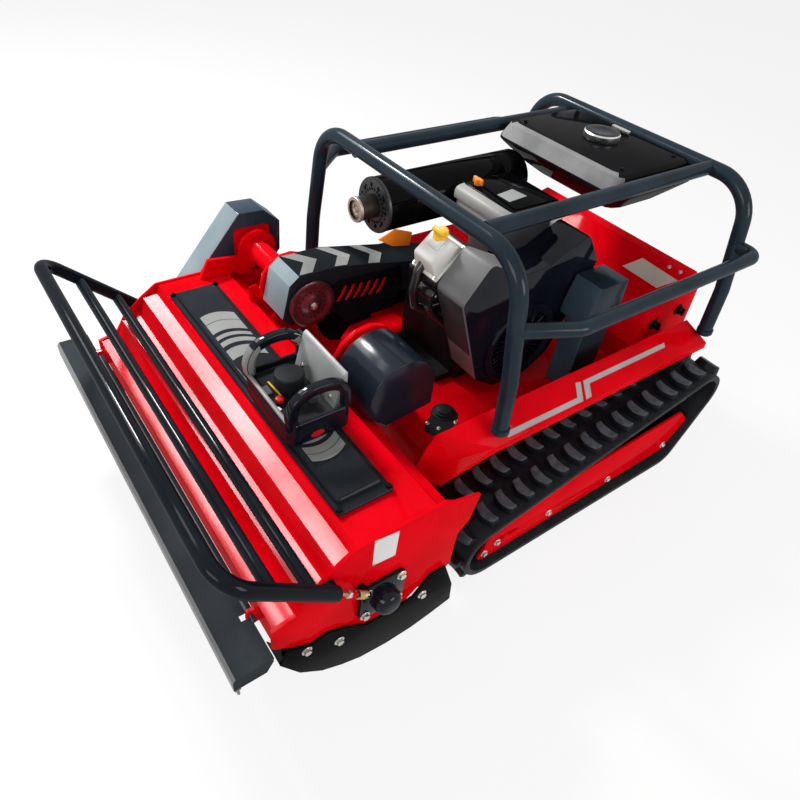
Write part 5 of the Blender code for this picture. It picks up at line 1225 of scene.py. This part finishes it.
# %% Cowl under the guard and web of the arm
cowl_line = [(-0.2098, 0.530), (-0.0554, 0.530), (-0.0455, 0.4021), (-0.1206, 0.3959), (-0.1523, 0.3574),
             (-0.1860, 0.3697), (-0.2162, 0.4051), (-0.2330, 0.4514)]
cowl = plated("guard_lower_cowl", cowl_line, "X", (-0.1770, -0.1715))
finish_piece(soften(cowl, 0.002, 2), SKID_BLACK, "chassis")
web = plated("head_web", [(-0.352, 0.508), (-0.330, 0.512), (-0.275, 0.430), (-0.262, 0.385), (-0.300, 0.385),
                          (-0.352, 0.448)], "X", (-0.3250, -0.3210))
finish_piece(soften(web, 0.001, 1), RED, "head")
tell()

# %% [markdown]
# ## Jackshaft disc
# The disc passes the engine's power to the head. It is a casting with a stepped face, so it is spun from
# its profile, and it carries two circles of small studs, which the bolt helper sets.

# %% Disc with its studs
low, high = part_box("jackshaft")
middle = (low + high) / 2 - SHIFT
face_x = high.x - SHIFT.x
disc = spun("disc", [(0, 0.0), (0.009, 0.0), (0.012, -0.003), (0.012, -0.006), (0.024, -0.007),
                     (0.027, -0.009), (0.050, -0.009), (0.053, -0.007), (0.064, -0.007), (0.067, -0.009),
                     (0.067, -0.013), (0.0, -0.013)], "X", (face_x, middle.y, middle.z), 56)
STUD_DEPTH = 0.0085
studs = []
for count, radius in ((18, 0.0385), (26, 0.0585)):
    for k in range(count):
        turn = math.tau * k / count
        studs.append((face_x - STUD_DEPTH, middle.y + radius * math.cos(turn),
                      middle.z + radius * math.sin(turn)))
finish_piece(joined("jackshaft_skin", disc, dressed("jackshaft")), PULLEY, "jackshaft",
             ["jackshaft"])
bolt_rows("jackshaft_studs", studs, LEFT, 0.0016, "jackshaft", GLOSS_BLACK)
bolt_rows("jackshaft_bolt", [(face_x, middle.y, middle.z)], LEFT, 0.0075, "jackshaft")
tell()

# %% [markdown]
# ## Chevrons, covers and rotor
# Three grey chevrons lie on the guard's top, which has a slight bend. Their corners are set on its two
# slopes, so that none of them floats. The round pivot cover, the cabinet and the rotor under the head are
# merged copies, and the cabinet's top and side are painted darker than its front, as painted shade.

# %% Chevrons, pivot cover, cabinet and rotor
BEND_Y = -0.165


def guard_top(x, y):
    """A point on the drive guard's top, which bends down a little at BEND_Y."""
    return Vector((x, y, 0.6062 - (y + 0.283) * 0.017 if y < BEND_Y else 0.6042 - (y - BEND_Y) * 0.1956))


chevrons = []
for tip in (-0.200, -0.096, 0.010):
    outline = [(-0.276, tip - 0.040), (-0.225, tip), (-0.174, tip - 0.042), (-0.174, tip - 0.080),
               (-0.225, tip - 0.040), (-0.276, tip - 0.078)]
    chevrons.append(leaf("chevron", [guard_top(x, y) for x, y in outline], (0, 0.1, 1), 0.0010))
finish_piece(joined("drive_guard_chevrons", *chevrons), VINYL, "chassis")
dress("pivot_cover", NAVY, "chassis", 0.003, 3)
# Painted shade: the cabinet's top and right side get the darker tube slate.
second_tone(dress("controller_tower", TOWER, "chassis", 0.003, 3), TUBE,
            lambda face: face.normal.z > 0.6 or face.normal.x > 0.8)
dress("flail_rotor", BLACK, "rotor")
tell()

# %% [markdown]
# ## Remote
# The handheld remote stands on the head's cover: a case with a sunk tray, two arched handles and a
# sloping panel between them. The tray is the case's top face, inset and pushed down, as one would do it
# by hand. The handles are plates whose outline flows through a few chosen points, which keeps their arch
# smooth with little to write down.

# %% Lines for the remote's outlines
def rounded_box(half_x, half_y, radius, steps=6):
    """Outline of a rectangle with round corners, about the remote's middle."""
    spots = []
    for k, (cx, cy) in enumerate(((half_x - radius, half_y - radius), (radius - half_x, half_y - radius),
                                  (radius - half_x, radius - half_y), (half_x - radius, radius - half_y))):
        for j in range(steps + 1):
            turn = math.pi / 2 * (k + j / steps)
            spots.append((REMOTE.x + cx + radius * math.cos(turn), REMOTE.y + cy + radius * math.sin(turn)))
    return spots


def flowing(points, steps=5):
    """More points along a line, on a smooth curve through the given ones."""
    pts = [Vector(p) for p in points]
    pts = [pts[0] * 2 - pts[1], *pts, pts[-1] * 2 - pts[-2]]
    out = []
    for a, b, c, d in zip(pts, pts[1:], pts[2:], pts[3:]):
        for k in range(steps):
            t = k / steps
            out.append((b * 2 + (c - a) * t + (a * 2 - b * 5 + c * 4 - d) * t * t
                        + (b * 3 - a - c * 3 + d) * t * t * t) / 2)
    return out + [pts[-2]]


REMOTE = Vector((0.136, -0.460, 0.4925))
RIM_Z, TRAY_Z = 0.5523, 0.5343
print("remote stands at", tuple(REMOTE))

# %% Case, handles and panel
case = plated("case", rounded_box(0.108, 0.0765, 0.024), "Z", (REMOTE.z, RIM_Z))
only(case)
mode("EDIT")
bpy.ops.mesh.select_all(action="DESELECT")
mode("OBJECT")
for face in case.data.polygons:
    face.select = face.normal.z > 0.9
mode("EDIT")
bpy.ops.mesh.inset(thickness=0.010)
bpy.ops.mesh.extrude_region_move(TRANSFORM_OT_translate={"value": (0, 0, TRAY_Z - RIM_Z)})
mode("OBJECT")
soften(case, 0.0035, 3)
ARCH_OUT = [(-0.537, 0.5460), (-0.539, 0.575), (-0.528, 0.606), (-0.505, 0.626), (-0.470, 0.6345),
            (-0.430, 0.631), (-0.402, 0.615), (-0.388, 0.590), (-0.384, 0.5460)]
ARCH_IN = [(-0.407, 0.5460), (-0.408, 0.585), (-0.424, 0.604), (-0.450, 0.6125), (-0.480, 0.6115),
           (-0.500, 0.603), (-0.511, 0.588), (-0.515, 0.568), (-0.513, 0.5460)]
arch_line = [tuple(p) for p in flowing(ARCH_OUT) + flowing(ARCH_IN)]
ARCH_SPANS = ((0.030, 0.051), (0.221, 0.242))
arches = [soften(plated("arch", arch_line, "X", span), 0.0045, 3) for span in ARCH_SPANS]
panel = plated("panel", [(-0.420, 0.5333), (-0.398, 0.6200), (-0.391, 0.6260), (-0.386, 0.6240),
                         (-0.388, 0.5333)], "X", (0.0505, 0.2215))
soften(panel, 0.003, 2)
print("arch points", len(arch_line))

# %% [markdown]
# ## Finishes on the remote
# The shell is one moulding with black, grey and textured faces, so it is one piece whose faces are sorted
# into four finishes by their place and normal.

# %% One piece with four finishes
remote = joined("remote_body_skin", case, *arches, panel)
finish_piece(remote, GLOSS_BLACK, "remote", ["remote_body"])
for extra in (SILVER, TEXTURED, VINYL):
    remote.data.materials.append(extra)
for face in remote.data.polygons:
    spot, normal = face.center - SHIFT, face.normal
    in_panel = 0.0500 < spot.x < 0.2220 and spot.y > -0.4215 and spot.z > 0.5350
    inner = normal.x > 0.5 if spot.x < REMOTE.x else normal.x < -0.5
    legs = spot.z < 0.612 and (spot.y < -0.505 or spot.y > -0.425)
    if in_panel:
        face.material_index = 1
    elif spot.z < TRAY_Z + 0.001 and normal.z > 0.5 and spot.z > TRAY_Z - 0.001:
        face.material_index = 2
    elif spot.z > RIM_Z - 0.004 and (legs and inner or spot.y < -0.520 and spot.x < 0.10 and normal.y < 0.3):
        face.material_index = 3
    elif abs(spot.z - RIM_Z) < 0.004 and spot.y < -0.520 and normal.z > 0.2:
        face.material_index = 3
tell()

# %% Cheeks inside the remote's arches
def between(a, b, share):
    return (a[0] + (b[0] - a[0]) * share, a[1] + (b[1] - a[1]) * share)


out_line, in_line = [[tuple(p) for p in flowing(line, 4)] for line in (ARCH_OUT, ARCH_IN[::-1])]
cheeks = []
for face_x, sign in ((0.0508, 1), (0.2212, -1)):
    for ends in (slice(0, 13), slice(-9, None)):
        outer = [between(a, b, 0.24) for a, b in zip(out_line[ends], in_line[ends])]
        inner = [between(a, b, 0.76) for a, b in zip(out_line[ends], in_line[ends])]
        cheeks.append(leaf("cheek", [(face_x, y, z) for y, z in outer + inner[::-1]], (sign, 0, 0), 0.0012))
finish_piece(joined("remote_cheeks", *cheeks), VINYL, "remote")
tell()

# %% [markdown]
# ## Controls on the remote
# Small marks and switches give the remote its life: a red oval, a yellow line, a grey pad, a pale plate
# beside the stop button, a bronze toggle and three bolts. Each is a leaf, a block or a spun piece. The
# knobs and the button are merged copies that ride on their own bodies.

# %% Remote's small parts
oval = [(0.2443, -0.4711 + 0.016 * math.cos(math.tau * k / 20), 0.509 + 0.0085 * math.sin(math.tau * k / 20))
        for k in range(20)]
finish_piece(leaf("remote_oval", oval, LEFT, 0.0008), RED_PLASTIC, "remote")
yellow_line = [(0.075, -0.501), (0.130, -0.498), (0.130, -0.494), (0.075, -0.497)]
finish_piece(level_leaf("remote_yellow_line", yellow_line, TRAY_Z, 0.0012), YELLOW, "remote")
pad = block("remote_grey_pad", (0.088, 0.114), (-0.526, -0.508), (TRAY_Z, TRAY_Z + 0.006))
finish_piece(soften(pad, 0.0015, 2), VINYL, "remote")
edge_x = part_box("remote_stop_button")[1].x - SHIFT.x + 0.0015
pale_line = [(edge_x, -0.527), (0.172, -0.527), (0.168, -0.514), (edge_x, -0.516)]
pale_plate = level_leaf("remote_pale_plate", pale_line, TRAY_Z, 0.0010)
finish_piece(pale_plate, PALE, "remote")
toggle = spun("remote_toggle", [(0, 0.020), (0.003, 0.0195), (0.0042, 0.017), (0.003, 0.006), (0.006, 0.005),
                                (0.0068, 0.0), (0, 0.0)], "Z", (0.176, -0.500, TRAY_Z + 0.0002), 20)
finish_piece(toggle, BRASS, "remote")
bolt_rows("remote_panel_bolts", [(x, -0.4152, 0.5525) for x in (0.163, 0.200, 0.080)], (0, -0.97, 0.24),
          0.0040, "remote", round_head=True)
dress("remote_drive_knob", TEXTURED, "drive_knob", 0.001)
dress("remote_speed_knob", STEEL, "speed_knob", 0.001)
dress("remote_stop_button", RED_PLASTIC, "stop_button", 0.001)
tell()

# %% [markdown]
# ## Floor
# The studio is plain: a pale floor that turns white for the camera, a white world, and soft lamps. A
# floor that is only lit would show as grey, so rays from the camera and from mirrors find mostly a glow,
# and the rest of the floor's shader keeps a faint shadow.

# %% Floor
bpy.ops.object.select_all(action="DESELECT")
bpy.ops.mesh.primitive_plane_add(size=60.0, location=(0, 0, 0))
floor = bpy.context.object
floor.name = "studio_floor"
mat = bpy.data.materials.new("pale_floor")
mat.use_nodes = True
tree = mat.node_tree
shader = tree.nodes["Principled BSDF"]
shader.inputs["Base Color"].default_value = (0.80, 0.80, 0.80, 1.0)
shader.inputs["Roughness"].default_value = 0.9
shader.inputs["Specular IOR Level"].default_value = 0.0
glow = tree.nodes.new("ShaderNodeEmission")
glow.inputs["Strength"].default_value = 1.0
rays = tree.nodes.new("ShaderNodeLightPath")
seen = maths(tree, "MAXIMUM", rays.outputs["Is Camera Ray"], rays.outputs["Is Glossy Ray"])
share = maths(tree, "MULTIPLY", maths(tree, "MAXIMUM", seen, rays.outputs["Is Transmission Ray"]), 0.84)
blend = tree.nodes.new("ShaderNodeMixShader")
tree.links.new(share, blend.inputs[0])
tree.links.new(shader.outputs[0], blend.inputs[1])
tree.links.new(glow.outputs[0], blend.inputs[2])
tree.links.new(blend.outputs[0], tree.nodes["Material Output"].inputs["Surface"])
floor.data.materials.append(mat)
print("floor", tuple(floor.dimensions))

# %% [markdown]
# ## World and lamps
# The world is white to the camera and in mirrors, but dim as a light, because a full white sky would wash
# the slate out. The key lamp casts the shadows. The strip and near lamps stand where their mirror images
# fall on the head's glossy steps, as the sky's did, and two wide lamps fill the front and the right side.

# %% World and lamps
world = bpy.data.worlds.new("studio")
bpy.context.scene.world = world
world.use_nodes = True
sky = world.node_tree.nodes["Background"]
sky.inputs["Color"].default_value = (1.0, 1.0, 1.0, 1.0)
rays = world.node_tree.nodes.new("ShaderNodeLightPath")
seen = maths(world.node_tree, "MAXIMUM", rays.outputs["Is Camera Ray"], rays.outputs["Is Glossy Ray"])
seen = maths(world.node_tree, "MAXIMUM", seen, rays.outputs["Is Transmission Ray"])
seen = maths(world.node_tree, "MAXIMUM", seen, 0.34)
world.node_tree.links.new(seen, sky.inputs["Strength"])


def lamp(name, spot, target, size, power):
    light = bpy.data.lights.new(name, "AREA")
    light.shape = "RECTANGLE"
    light.size, light.size_y = size
    light.energy = power
    obj = bpy.data.objects.new(name, light)
    obj.location = spot
    obj.rotation_euler = (Vector(target) - Vector(spot)).to_track_quat("-Z", "Y").to_euler()
    bpy.context.scene.collection.objects.link(obj)
    return obj


lamp("key_window", (-2.6, -0.6, 3.2), (0.0, -0.1, 0.3), (0.5, 0.5), 125.0)
lamp("strip_window", (-3.3, -1.25, 3.2), (-3.3, -0.90, 0.3), (2.2, 1.2), 80.0)
lamp("near_window", (-1.35, -1.25, 3.2), (-1.35, -0.90, 0.3), (0.35, 1.2), 9.0)
lamp("front_fill", (1.4, -3.2, 2.2), (0.0, 0.0, 0.3), (2.0, 1.2), 45.0)
lamp("right_fill", (3.2, 1.0, 1.8), (0.0, 0.0, 0.4), (1.6, 1.2), 45.0)
print("lamps", len(bpy.data.lights))

# %% [markdown]
# ## Camera
# The camera stands where the photograph was taken, found by matching points of the machine to the
# picture. It is rolled a little, as a camera in the hand is.

# %% Camera
AZIMUTH, ELEVATION, ROLL = math.radians(50.2887), math.radians(42.2707), math.radians(6.9511)
back = Vector((math.sin(AZIMUTH) * math.cos(ELEVATION), -math.cos(AZIMUTH) * math.cos(ELEVATION),
               math.sin(ELEVATION)))
level = Vector((math.cos(AZIMUTH), math.sin(AZIMUTH), 0.0))
above = back.cross(level)
right = level * math.cos(ROLL) + above * math.sin(ROLL)
upward = above * math.cos(ROLL) - level * math.sin(ROLL)
lens = bpy.data.cameras.new("photo_camera")
lens.lens = 29.18
lens.sensor_width = 36.0
lens.shift_x = 0.0151
lens.shift_y = 0.0006
camera = bpy.data.objects.new("photo_camera", lens)
bpy.context.scene.collection.objects.link(camera)
turn = Matrix((right, upward, back)).transposed().to_4x4()
camera.matrix_world = Matrix.Translation((1.0857, -0.9663, 1.4926)) @ turn
bpy.context.scene.camera = camera
bpy.context.scene.view_settings.view_transform = "Standard"
print("camera at", tuple(round(v, 3) for v in camera.location))
